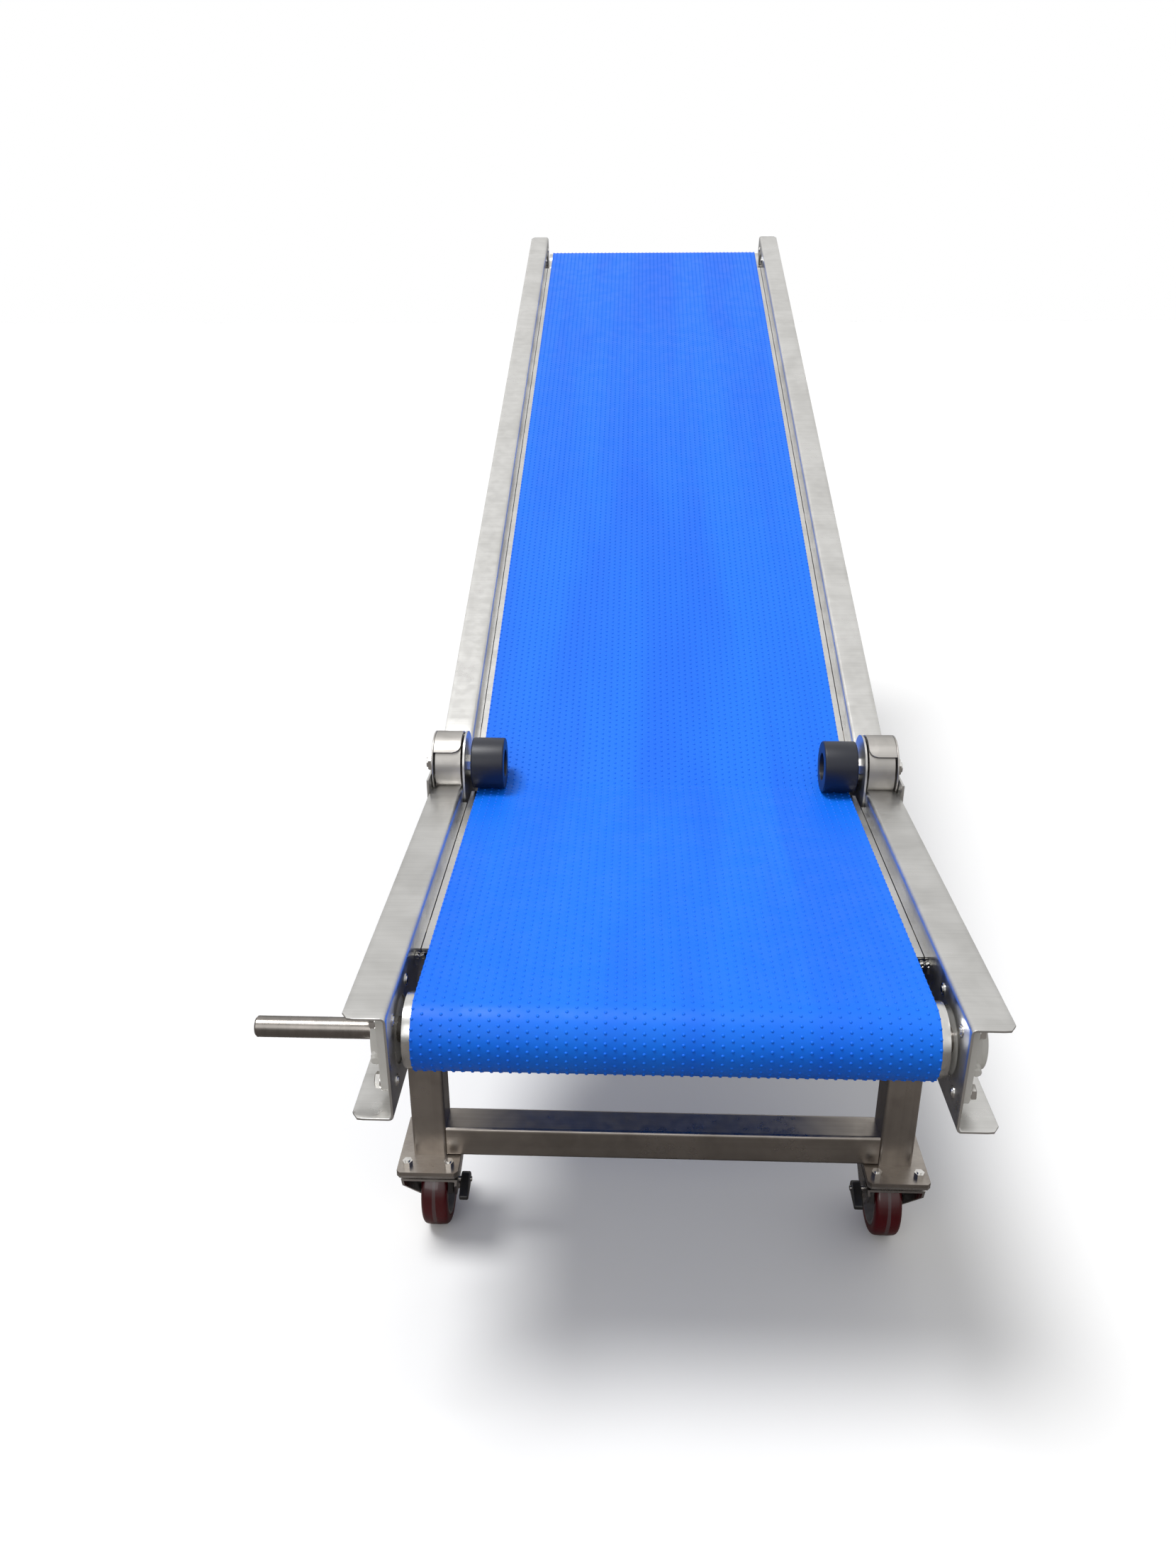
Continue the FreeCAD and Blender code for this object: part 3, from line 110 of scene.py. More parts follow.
def turned(profile, steps=48, turn=0.0):
    # A profile of (along, radius) carried once round the local X axis.
    angle = turn + np.linspace(0, 2 * math.pi, steps, endpoint=False)
    along, radius = np.array(profile, float).T
    ring = np.stack([np.zeros(steps), np.cos(angle), np.sin(angle)], axis=-1)
    points = radius[:, None, None] * ring + along[:, None, None] * np.array([1.0, 0.0, 0.0])
    return gridPatch(points, closedV=True)


def softCorners(corners, radius, steps=5, closed=True):
    # Each corner becomes an arc tangent to both of its sides; radius is one number or one for each corner.
    corners = np.array(corners, float)
    count = len(corners)
    radii = np.broadcast_to(radius, (count,))
    rounded = []
    for place in range(count):
        here = corners[place]
        if radii[place] <= 0 or (not closed and place in (0, count - 1)):
            rounded.append(here[None])
            continue
        before = corners[place - 1] - here
        after = corners[(place + 1) % count] - here
        before, after = before / np.linalg.norm(before), after / np.linalg.norm(after)
        half = math.acos(np.clip(before @ after, -1, 1)) / 2
        reach = radii[place] / math.tan(half)
        middle = here + (before + after) / np.linalg.norm(before + after) * radii[place] / math.sin(half)
        start, end = here + before * reach - middle, here + after * reach - middle
        sweep = math.atan2(start[0] * end[1] - start[1] * end[0], start @ end)
        angle = math.atan2(start[1], start[0]) + np.linspace(0, sweep, steps)
        rounded.append(middle + radii[place] * np.stack([np.cos(angle), np.sin(angle)], axis=-1))
    return np.concatenate(rounded)


def slab(outline, thick):
    # A flat outline in the local YZ plane given a thickness along +X, with both faces closed.
    count = len(outline)
    bottom = np.column_stack([np.zeros(count), outline])
    top = bottom + np.array([thick, 0.0, 0.0])
    index = np.arange(count)
    after = (index + 1) % count
    walls = np.stack([index, after, after + count, index + count], axis=-1).tolist()
    return np.concatenate([bottom, top]), walls + [index[::-1].tolist(), (index + count).tolist()]


def moved(patch, place, towards=None, up=None):
    # Puts a patch's local X along towards and its local Z near up, with its zero at place.
    points, faces = patch
    if towards is None:
        return points + np.array(place), faces
    first = np.array(towards, float) / np.linalg.norm(towards)
    guide = np.array(up if up is not None else (0.0, 0.0, 1.0), float)
    second = np.cross(guide, first)
    second /= np.linalg.norm(second)
    third = np.cross(first, second)
    return points @ np.stack([first, second, third]) + np.array(place), faces


def shellPatch(outer, inner):
    # Two matching grids, one for each face of a sheet, joined round their borders.
    rows, columns = outer.shape[:2]
    first, faces = gridPatch(outer)
    second, backs = gridPatch(inner)
    count = rows * columns
    index = np.arange(count).reshape(rows, columns)
    rim = np.concatenate([index[0, :-1], index[:-1, -1], index[-1, :0:-1], index[:0:-1, 0]])
    after = np.roll(rim, -1)
    walls = np.stack([rim, after, after + count, rim + count], axis=-1).tolist()
    backs = [[corner + count for corner in face] for face in backs]
    return np.concatenate([first, second]), faces + backs + walls


hexHead = {"edge": 0.0003, "nip": 0.16, "crown": 0.88, "dish": 0.52, "dishFloor": 0.48, "turn": 0.3,
           "washerSides": 28}


def hexBolt(place, towards, up, across, height, washer, washerThick):
    # A washer with a six-sided head on it, the head's corners nipped and its top slightly dished.
    edge, corner, top = hexHead["edge"], across / math.sqrt(3), washerThick + height
    ring = turned([(0, 0), (0, washer - edge), (edge, washer), (washerThick - edge, washer),
                   (washerThick, washer - edge), (washerThick, 0)], hexHead["washerSides"])
    head = turned([(washerThick, 0), (washerThick, corner), (top - height * hexHead["nip"], corner),
                   (top, corner * hexHead["crown"]), (top, corner * hexHead["dish"]),
                   (top - edge, corner * hexHead["dishFloor"]), (top - edge, 0)], 6, hexHead["turn"])
    return [moved(ring, place, towards, up), moved(head, place, towards, up)]


def bothSides(make, *rest):
    # What one maker gives for the left and the right side, as one list of patches.
    return [patch for side in sides.values() for patch in make(side, *rest)]


def softEdges(piece, width, angle=40):
    edge = piece.modifiers.new("softEdges", "BEVEL")
    edge.width = width
    edge.segments = 2
    edge.limit_method = "ANGLE"
    edge.angle_limit = math.radians(angle)


def makePiece(name, patches, material, body, replaced=(), smooth=34, tidy=True, bevel=0.0, blend=None):
    # One object from several patches, its faces turned outwards.
    allPoints, allFaces, offset = [], [], 0
    for points, faces in patches:
        allPoints.append(points)
        allFaces += [[corner + offset for corner in face] for face in faces]
        offset += len(points)
    mesh = bpy.data.meshes.new(name)
    mesh.from_pydata(np.concatenate(allPoints).tolist(), [], allFaces)
    if tidy:
        work = bmesh.new()
        work.from_mesh(mesh)
        bmesh.ops.remove_doubles(work, verts=work.verts, dist=tiny)
        bmesh.ops.recalc_face_normals(work, faces=work.faces)
        work.to_mesh(mesh)
        work.free()
    mesh.shade_smooth()
    mesh.set_sharp_from_angle(angle=math.radians(smooth))
    mesh.materials.append(material)
    piece = bpy.data.objects.new(name, mesh)
    bpy.context.scene.collection.objects.link(piece)
    if bevel:
        softEdges(piece, bevel)
    if blend:
        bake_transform(piece)
    else:
        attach(piece, body)
    if replaced:
        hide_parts(*replaced)
    return piece


# Shader nodes
def setInputs(tree, made, inputs):
    # A socket is linked; any other value is written into the input.
    for key, value in inputs.items():
        if isinstance(value, bpy.types.NodeSocket):
            tree.links.new(value, made.inputs[key])
        else:
            made.inputs[key].default_value = value
    return made


def node(tree, kind, settings=None, inputs=None):
    made = tree.nodes.new(kind)
    for key, value in (settings or {}).items():
        setattr(made, key, value)
    return setInputs(tree, made, inputs or {})


def newGroup(name, inputs, outputs):
    # inputs and outputs are (name, socket type, default) rows.
    tree = bpy.data.node_groups.new(name, "ShaderNodeTree")
    for side, rows in (("INPUT", inputs), ("OUTPUT", outputs)):
        for title, kind, default in rows:
            socket = tree.interface.new_socket(name=title, in_out=side, socket_type=kind)
            if default is not None:
                socket.default_value = default
    return tree, tree.nodes.new("NodeGroupInput"), tree.nodes.new("NodeGroupOutput")


def math2(tree, kind, first, second, clamp=False):
    settings = {"operation": kind, "use_clamp": clamp}
    return node(tree, "ShaderNodeMath", settings, {0: first, 1: second}).outputs[0]


def noise(tree, vector, scale, detail=3.0, rough=0.5, warp=0.0):
    inputs = {"Vector": vector, "Scale": scale, "Detail": detail, "Roughness": rough, "Distortion": warp}
    return node(tree, "ShaderNodeTexNoise", None, inputs).outputs["Fac"]


def between(tree, value, low, high):
    # Maps value from low..high to 0..1 with soft ends.
    return node(tree, "ShaderNodeMapRange", {"interpolation_type": "SMOOTHSTEP"}, {
        "Value": value, "From Min": low, "From Max": high}).outputs["Result"]


def stretched(tree, vector, size):
    return node(tree, "ShaderNodeVectorMath", {"operation": "MULTIPLY"}, {0: vector, 1: size}).outputs[0]


def mixColour(tree, share, first, second):
    # Inputs 6 and 7 and output 2 are the colour sockets of a Mix node.
    made = node(tree, "ShaderNodeMix", {"data_type": "RGBA"}, {0: share, 6: first, 7: second})
    return made.outputs[2]


def colour(red, green, blue):
    return (red, green, blue, 1.0)


# Effects that several materials share
def cloudyMarksGroup():
    # Large pale clouds with warped edges and a finer layer over them, as on wiped cold-rolled sheet.
    tree, given, result = newGroup("cloudyMarks", [
        ("Vector", "NodeSocketVector", None), ("Size", "NodeSocketFloat", 9.0)], [
        ("Clouds", "NodeSocketFloat", None), ("Fine", "NodeSocketFloat", None)])
    size = given.outputs["Size"]
    large = noise(tree, given.outputs["Vector"], size, 3.0, 0.5, 0.5)
    small = noise(tree, given.outputs["Vector"], math2(tree, "MULTIPLY", size, 6.0), 2.0, 0.5, 0.0)
    tree.links.new(between(tree, large, 0.36, 0.64), result.inputs["Clouds"])
    tree.links.new(between(tree, small, 0.3, 0.7), result.inputs["Fine"])
    return tree


def brushedGrainGroup():
    # Long thin lines: noise squeezed across the grain and stretched along it.
    tree, given, result = newGroup("brushedGrain", [
        ("Vector", "NodeSocketVector", None), ("Squeeze", "NodeSocketVector", (900.0, 14.0, 900.0))], [
        ("Lines", "NodeSocketFloat", None), ("Streaks", "NodeSocketFloat", None)])
    squeezed = stretched(tree, given.outputs["Vector"], given.outputs["Squeeze"])
    lines = noise(tree, squeezed, 1.0, 3.0, 0.65)
    streaks = noise(tree, stretched(tree, squeezed, (0.12, 0.3, 0.12)), 1.0, 2.0, 0.5)
    tree.links.new(lines, result.inputs["Lines"])
    tree.links.new(between(tree, streaks, 0.35, 0.7), result.inputs["Streaks"])
    return tree


def fineGrainGroup():
    # Two scales of even speckle for moulded and rubbery faces.
    tree, given, result = newGroup("fineGrain", [
        ("Vector", "NodeSocketVector", None), ("Size", "NodeSocketFloat", 900.0)], [
        ("Speckle", "NodeSocketFloat", None), ("Patches", "NodeSocketFloat", None)])
    size = given.outputs["Size"]
    tree.links.new(noise(tree, given.outputs["Vector"], size, 2.0, 0.6), result.inputs["Speckle"])
    patches = noise(tree, given.outputs["Vector"], math2(tree, "MULTIPLY", size, 0.02), 3.0, 0.5, 0.5)
    tree.links.new(between(tree, patches, 0.3, 0.7), result.inputs["Patches"])
    return tree


groups = {
    "cloudyMarks": cloudyMarksGroup(),
    "brushedGrain": brushedGrainGroup(),
    "fineGrain": fineGrainGroup(),
}


def useGroup(tree, name, inputs):
    return node(tree, "ShaderNodeGroup", {"node_tree": groups[name]}, inputs)


def startMaterial(name, turn=0.0):
    # A Principled material with Object coordinates turned back by an angle about X.
    made = bpy.data.materials.new(name)
    made.use_nodes = True
    tree = made.node_tree
    shader = tree.nodes["Principled BSDF"]
    place = node(tree, "ShaderNodeTexCoord").outputs["Object"]
    if turn:
        place = node(tree, "ShaderNodeMapping", {"vector_type": "POINT"}, {
            "Vector": place, "Rotation": (turn, 0.0, 0.0)}).outputs[0]
    return made, tree, shader, place


def setRough(tree, shader, value, limits):
    # Roughness runs from the first limit to the second as the value goes from 0 to 1.
    low, high = limits
    rough = node(tree, "ShaderNodeMapRange", None, {"Value": value, "To Min": low, "To Max": high})
    tree.links.new(rough.outputs[0], shader.inputs["Roughness"])


def bumpy(tree, shader, height, strength, distance):
    bump = node(tree, "ShaderNodeBump", None, {"Height": height, "Strength": strength, "Distance": distance})
    tree.links.new(bump.outputs[0], shader.inputs["Normal"])


bumpDepth = {"steel": 0.0003, "plastic": 0.0006, "belt": 0.0004, "tyre": 0.0006}

sheetLook = {"pale": (0.66, 0.655, 0.64), "dark": (0.52, 0.515, 0.50), "rough": (0.26, 0.42),
             "grain": (60.0, 1100.0, 60.0), "marks": 9.0, "bump": 0.10}
steels = {
    "sheetLower": {**sheetLook, "turn": 0.0},
    "sheetUpper": {**sheetLook, "turn": -incline},
    "kneeSheet": {"pale": (0.50, 0.48, 0.455), "dark": (0.40, 0.385, 0.365), "rough": (0.32, 0.44),
                  "grain": (14.0, 1300.0, 1300.0), "marks": 22.0, "turn": 0.0, "bump": 0.14},
    "legTube": {"pale": (0.42, 0.385, 0.35), "dark": (0.30, 0.27, 0.245), "rough": (0.27, 0.42),
                "grain": (1200.0, 1200.0, 16.0), "marks": 12.0, "turn": 0.0, "bump": 0.18},
    "crossTube": {"pale": (0.46, 0.42, 0.38), "dark": (0.33, 0.30, 0.27), "rough": (0.25, 0.40),
                  "grain": (16.0, 1200.0, 1200.0), "marks": 12.0, "turn": 0.0, "bump": 0.18},
    "turnedSteel": {"pale": (0.72, 0.715, 0.70), "dark": (0.58, 0.575, 0.56), "rough": (0.16, 0.28),
                    "grain": (1500.0, 30.0, 30.0), "marks": 20.0, "turn": 0.0, "bump": 0.03},
    "shaftSteel": {"pale": (0.30, 0.275, 0.255), "dark": (0.22, 0.205, 0.19), "rough": (0.20, 0.32),
                   "grain": (1200.0, 40.0, 40.0), "marks": 14.0, "turn": 0.0, "bump": 0.04},
    "boltSteel": {"pale": (0.74, 0.73, 0.71), "dark": (0.60, 0.59, 0.57), "rough": (0.14, 0.24),
                  "grain": (500.0, 500.0, 500.0), "marks": 60.0, "turn": 0.0, "bump": 0.06},
    "casterSteel": {"pale": (0.60, 0.58, 0.56), "dark": (0.44, 0.42, 0.40), "rough": (0.16, 0.30),
                    "grain": (300.0, 300.0, 40.0), "marks": 30.0, "turn": 0.0, "bump": 0.08},
}


def steelMaterial(name):
    # Metal whose clouds change colour and gloss, with long brush lines as a shallow bump.
    look = steels[name]
    made, tree, shader, place = startMaterial(name, look["turn"])
    clouds = useGroup(tree, "cloudyMarks", {"Vector": place, "Size": look["marks"]})
    grain = useGroup(tree, "brushedGrain", {"Vector": place, "Squeeze": look["grain"]})
    share = math2(tree, "MULTIPLY", clouds.outputs["Clouds"], 0.75)
    share = math2(tree, "ADD", share, math2(tree, "MULTIPLY", grain.outputs["Streaks"], 0.25), True)
    tint = mixColour(tree, share, colour(*look["pale"]), colour(*look["dark"]))
    tree.links.new(tint, shader.inputs["Base Color"])
    gloss = math2(tree, "ADD", math2(tree, "MULTIPLY", clouds.outputs["Fine"], 0.5),
                  math2(tree, "MULTIPLY", clouds.outputs["Clouds"], 0.5))
    setRough(tree, shader, gloss, look["rough"])
    shader.inputs["Metallic"].default_value = 1.0
    bumpy(tree, shader, grain.outputs["Lines"], look["bump"], bumpDepth["steel"])
    return made


plastics = {
    "bearingWhite": {"main": (0.78, 0.775, 0.745), "patch": (0.74, 0.73, 0.69), "rough": (0.30, 0.42),
                     "coat": 0.12},
    "wheelBlack": {"main": (0.006, 0.008, 0.016), "patch": (0.010, 0.012, 0.022), "rough": (0.34, 0.46),
                   "coat": 0.0},
    "knobBlack": {"main": (0.010, 0.010, 0.011), "patch": (0.018, 0.018, 0.018), "rough": (0.32, 0.5),
                  "coat": 0.0},
    "rollerGrey": {"main": (0.16, 0.165, 0.175), "patch": (0.12, 0.125, 0.135), "rough": (0.38, 0.5),
                   "coat": 0.0},
    "coreGrey": {"main": (0.20, 0.19, 0.19), "patch": (0.14, 0.13, 0.13), "rough": (0.36, 0.5), "coat": 0.1},
    "pedalBlack": {"main": (0.014, 0.014, 0.015), "patch": (0.03, 0.03, 0.03), "rough": (0.25, 0.4),
                   "coat": 0.2},
}
moulded = {"grain": 1400.0, "bump": 0.08, "coatRough": 0.2}


def plasticMaterial(name):
    # Moulded plastic: two close tints in soft patches and a very fine moulded grain.
    look = plastics[name]
    made, tree, shader, place = startMaterial(name)
    grain = useGroup(tree, "fineGrain", {"Vector": place, "Size": moulded["grain"]})
    tint = mixColour(tree, grain.outputs["Patches"], colour(*look["main"]), colour(*look["patch"]))
    tree.links.new(tint, shader.inputs["Base Color"])
    setRough(tree, shader, grain.outputs["Speckle"], look["rough"])
    shader.inputs["Coat Weight"].default_value = look["coat"]
    shader.inputs["Coat Roughness"].default_value = moulded["coatRough"]
    bumpy(tree, shader, grain.outputs["Speckle"], moulded["bump"], bumpDepth["plastic"])
    return made


belting = {"face": (0.004, 0.185, 0.94), "faceDeep": (0.003, 0.155, 0.90), "rough": (0.40, 0.52),
           "grain": 1500.0, "shading": (9.0, 1.2, 1.2), "sheen": 0.28, "bump": 0.05}


def beltMaterial():
    # Smooth coated belt: faint lengthwise shading from handling and a fine calendered surface.
    made, tree, shader, place = startMaterial("beltBlue")
    grain = useGroup(tree, "fineGrain", {"Vector": place, "Size": belting["grain"]})
    soft = noise(tree, stretched(tree, place, belting["shading"]), 1.0, 3.0, 0.5, 0.4)
    share = between(tree, soft, 0.35, 0.7)
    tint = mixColour(tree, share, colour(*belting["face"]), colour(*belting["faceDeep"]))
    tree.links.new(tint, shader.inputs["Base Color"])
    setRough(tree, shader, grain.outputs["Patches"], belting["rough"])
    shader.inputs["Specular IOR Level"].default_value = belting["sheen"]
    bumpy(tree, shader, grain.outputs["Speckle"], belting["bump"], bumpDepth["belt"])
    return made


tyreLook = {"red": (0.10, 0.002, 0.006), "redDeep": (0.07, 0.001, 0.004), "stripe": (0.13, 0.085, 0.09),
            "stripeHalf": 0.0030, "stripeShare": 0.8, "stripeFade": (0.0008, -0.0002),
            "ragged": 0.0012, "rough": (0.14, 0.26), "grain": 700.0,
            "coat": 0.3, "coatRough": 0.08, "bump": 0.05}


def tyreMaterial():
    # Glossy cast tread with a pale line round its middle; the wheels share one distance from the centre.
    made, tree, shader, place = startMaterial("tyreRed")
    grain = useGroup(tree, "fineGrain", {"Vector": place, "Size": tyreLook["grain"]})
    tint = mixColour(tree, grain.outputs["Patches"], colour(*tyreLook["red"]), colour(*tyreLook["redDeep"]))
    across = node(tree, "ShaderNodeSeparateXYZ", None, {0: place}).outputs["X"]
    wheelAcross = abs(joints["roll_front_left"]["pos_m"][0])
    off = math2(tree, "SUBTRACT", math2(tree, "ABSOLUTE", across, 0.0), wheelAcross)
    off = math2(tree, "ABSOLUTE", off, 0.0)
    ragged = math2(tree, "ADD", off, math2(tree, "MULTIPLY", grain.outputs["Patches"], tyreLook["ragged"]))
    fadeOut, fadeIn = tyreLook["stripeFade"]
    line = between(tree, ragged, tyreLook["stripeHalf"] + fadeOut, tyreLook["stripeHalf"] + fadeIn)
    line = math2(tree, "MULTIPLY", line, tyreLook["stripeShare"])
    tint = mixColour(tree, line, tint, colour(*tyreLook["stripe"]))
    tree.links.new(tint, shader.inputs["Base Color"])
    setRough(tree, shader, grain.outputs["Speckle"], tyreLook["rough"])
    shader.inputs["Coat Weight"].default_value = tyreLook["coat"]
    shader.inputs["Coat Roughness"].default_value = tyreLook["coatRough"]
    bumpy(tree, shader, grain.outputs["Speckle"], tyreLook["bump"], bumpDepth["tyre"])
    return made


materials = {name: steelMaterial(name) for name in steels}
materials.update({name: plasticMaterial(name) for name in plastics})
materials["beltBlue"] = beltMaterial()
materials["tyreRed"] = tyreMaterial()
print("materials made:", len(materials))


# Materials on the CAD nodes that keep their own shape
keptNodes = {
    "sheetLower": ["lower_slider_bed", "lower_bed_rails", "knee_plates", "knee_clamp_bars"],
    "sheetUpper": ["upper_slider_bed", "upper_bed_rails", "return_roller_hangers"],
    "crossTube": ["lower_cross_members", "upper_cross_members", "front_leg_crossbar", "rear_sleeve_crossbar"],
    "legTube": ["front_leg_left", "front_leg_right", "rear_sleeve_left", "rear_sleeve_right",
                "rear_post_frame", "rear_pivot_brackets"],
    "turnedSteel": ["drive_drum", "tail_drum", "drive_bearing_rings"],
    "shaftSteel": ["drive_shaft", "tail_shaft"],
    "kneeSheet": ["knee_hubs"],
    "boltSteel": ["rear_pivot_pins", "knee_axles", "front_stand_bolts", "rear_caster_bolts"],
    "casterSteel": ["front_caster_plates", "rear_caster_plates", "caster_fork_front_left",
                    "caster_fork_front_right", "caster_fork_rear_left", "caster_fork_rear_right"],
    "rollerGrey": ["knee_return_roller", "upper_return_roller"],
}
for materialName, nodeNames in keptNodes.items():
    for nodeName in nodeNames:
        cadMesh = frame["nodes"][nodeName].data
        cadMesh.materials.clear()
        cadMesh.materials.append(materials[materialName])
print("CAD nodes dressed")

# Belt
belt = {"half": 0.300, "thick": 0.0022, "rowPitch": 0.0118, "columnPitch": 0.01105, "columns": 27,
        "dotRadius": 0.0022, "dotHeight": 0.0014, "dotSink": 0.0001, "edge": 0.0004, "clear": 0.0003,
        "arcStep": 0.0035, "straightStep": 0.012, "blendBefore": 0.020, "blendAfter": 0.060}


def beltLine():
    # The belt's middle line as one closed path in the YZ plane, from straight runs and arcs about the drums.
    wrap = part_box("lower_belt")[0]
    loopRadius = driveAxis[1] - wrap.y - belt["thick"] / 2
    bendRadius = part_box("hold_down_wheel_left")[1].z - knee[2] + belt["clear"] + belt["thick"] / 2
    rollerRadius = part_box("knee_return_roller")[1].z - kneeRoller[2] + belt["clear"] + belt["thick"] / 2
    path = []

    def arc(centre, radius, start, sweep):
        count = max(5, int(abs(sweep) * radius / belt["arcStep"]))
        angle = start + np.linspace(0, sweep, count)
        path.append(np.column_stack([centre[1] + radius * np.cos(angle), centre[2] + radius * np.sin(angle)]))

    quarter = math.pi / 2
    arc(driveAxis, loopRadius, -quarter, -math.pi)
    arc(knee, bendRadius, -quarter, incline)
    arc(tailAxis, loopRadius, quarter + incline, -math.pi)
    arc(kneeRoller, rollerRadius, -quarter + incline, -incline)
    line = []
    for bend, following in zip(path, path[1:] + path[:1]):
        gap = following[0] - bend[-1]
        count = max(3, int(np.hypot(*gap) / belt["straightStep"]))
        line += [bend, bend[-1] + gap * np.linspace(0, 1, count)[1:-1, None]]
    return np.concatenate(line)


beltPath = beltLine()
beltClosed = np.concatenate([beltPath, beltPath[:1]])
beltSteps = np.hypot(*np.diff(beltClosed, axis=0).T)
beltDistance = np.concatenate([[0.0], np.cumsum(beltSteps)])
beltLength = beltDistance[-1]
beltHeading = np.gradient(np.concatenate([beltPath[-1:], beltClosed, beltPath[1:2]]), axis=0)[1:-1]
beltHeading /= np.hypot(*beltHeading.T)[:, None]


def alongBelt(distance):
    # Point and outward direction on the middle line at each distance from the drive drum's lowest point.
    distance = np.mod(distance, beltLength)
    point = np.stack([np.interp(distance, beltDistance, beltClosed[:, axis]) for axis in (0, 1)], axis=-1)
    ahead = np.stack([np.interp(distance, beltDistance, beltHeading[:, axis]) for axis in (0, 1)], axis=-1)
    ahead /= np.linalg.norm(ahead, axis=-1, keepdims=True)
    return point, ahead, np.stack([-ahead[..., 1], ahead[..., 0]], axis=-1)


kneeBlend = ((0.0, knee[1] - belt["blendBefore"], deckTop), (0.0, knee[1] + belt["blendAfter"], deckTop))


def beltBand():
    # A thin rectangle with nipped corners carried along the middle line.
    half, edge, thick = belt["half"], belt["edge"], belt["thick"] / 2
    corners = np.array([(-half, -thick + edge), (-half, thick - edge), (-half + edge, thick),
                        (half - edge, thick), (half, thick - edge), (half, -thick + edge),
                        (half - edge, -thick), (-half + edge, -thick)])
    point, ahead, out = alongBelt(beltDistance[:-1])
    spread = point[:, None] + corners[None, :, 1:] * out[:, None]
    across = np.broadcast_to(corners[:, 0], spread.shape[:2])
    grid = np.concatenate([across[..., None], spread], axis=-1)
    makePiece("beltBand", [gridPatch(grid, True, True)], materials["beltBlue"], None,
              ["lower_belt", "knee_belt", "upper_belt"], blend=kneeBlend)


def beltDots(name, start, end, sides, rings, body=None):
    # Low domes in staggered rows, each made of one or two rings and a point on top.
    pitch = belt["rowPitch"]
    rows = np.arange(math.ceil(start / pitch), math.ceil(end / pitch))
    columns = np.arange(-belt["columns"], belt["columns"] + 1)
    row, column = [grid.ravel() for grid in np.meshgrid(rows, columns, indexing="ij")]
    point, ahead, out = alongBelt((row + 0.5 * (column % 2)) * pitch)
    centre = np.column_stack([column * belt["columnPitch"], point + out * belt["thick"] / 2])
    ahead = np.column_stack([np.zeros(len(row)), ahead])
    out = np.column_stack([np.zeros(len(row)), out])
    across = np.array([1.0, 0.0, 0.0])
    angle = np.linspace(0, 2 * math.pi, sides, endpoint=False)
    circle = np.cos(angle)[:, None] * across + np.sin(angle)[:, None] * ahead[:, None, :]
    share = np.linspace(0, 1, rings + 1)[:-1]
    radius = belt["dotRadius"] * np.cos(share * math.pi / 2)
    height = belt["dotHeight"] * np.sin(share * math.pi / 2)
    height[0] = -belt["dotSink"]
    rims = [centre[:, None] + radius[k] * circle + height[k] * out[:, None] for k in range(rings)]
    tops = centre + belt["dotHeight"] * out
    block = np.concatenate(rims + [tops[:, None]], axis=1)
    index = np.arange(sides)
    after = (index + 1) % sides
    band = np.stack([index, after, after + sides, index + sides], axis=-1)
    last = (rings - 1) * sides
    crown = np.stack([index + last, after + last, np.full(sides, rings * sides)], axis=-1)
    offset = (np.arange(len(row)) * (rings * sides + 1))[:, None, None]
    faces = []
    for k in range(rings - 1):
        faces += (offset + band + k * sides).reshape(-1, 4).tolist()
    faces += (offset + crown[None]).reshape(-1, 3).tolist()
    makePiece(name, [(block.reshape(-1, 3), faces)], materials["beltBlue"], body, smooth=80,
              tidy=False, blend=None if body else kneeBlend)


beltBand()
# The dots are split by distance along the belt; those far from the knee ride the upper frame alone.
dotRuns = {"nose": 0.0459, "seam": 0.02, "pastKnee": 0.30, "farRun": 1.20, "tail": 0.01, "roundTail": 0.16,
           "beforeKnee": 0.25}
kneeAt = math.pi * dotRuns["nose"] + knee[1]
tailAt = kneeAt + np.linalg.norm(tailAxis - knee) + dotRuns["tail"]
infeedEnd = kneeAt + dotRuns["pastKnee"]
inclineEnd = kneeAt + dotRuns["farRun"]
dischargeEnd = tailAt + dotRuns["roundTail"]
returnEnd = beltLength - knee[1] - dotRuns["beforeKnee"]
beltDots("beltDotsInfeed", -dotRuns["seam"], infeedEnd, 8, 2)
beltDots("beltDotsIncline", infeedEnd, inclineEnd, 8, 2, "upper_frame")
beltDots("beltDotsDischarge", inclineEnd, dischargeEnd, 6, 2, "upper_frame")
beltDots("beltDotsReturn", dischargeEnd, returnEnd, 6, 1, "upper_frame")
beltDots("beltDotsUnder", returnEnd, beltLength - dotRuns["seam"], 6, 1)
print("belt made, length", round(beltLength, 3))

# Side channels
channel = {"inner": 0.318, "thick": 0.003, "flange": 0.050, "height": 0.140, "bend": 0.0032, "corner": 0.011,
           "opening": 0.040, "patch": 0.050, "cells": 12, "flangeCells": 6, "slot": 0.025, "edge": 0.0005,
           "webGap": 0.005, "lowerFlangeEnd": -0.0420, "upperFlangeStart": 0.0466, "pastTail": 0.082,
           "longRun": 0.2}


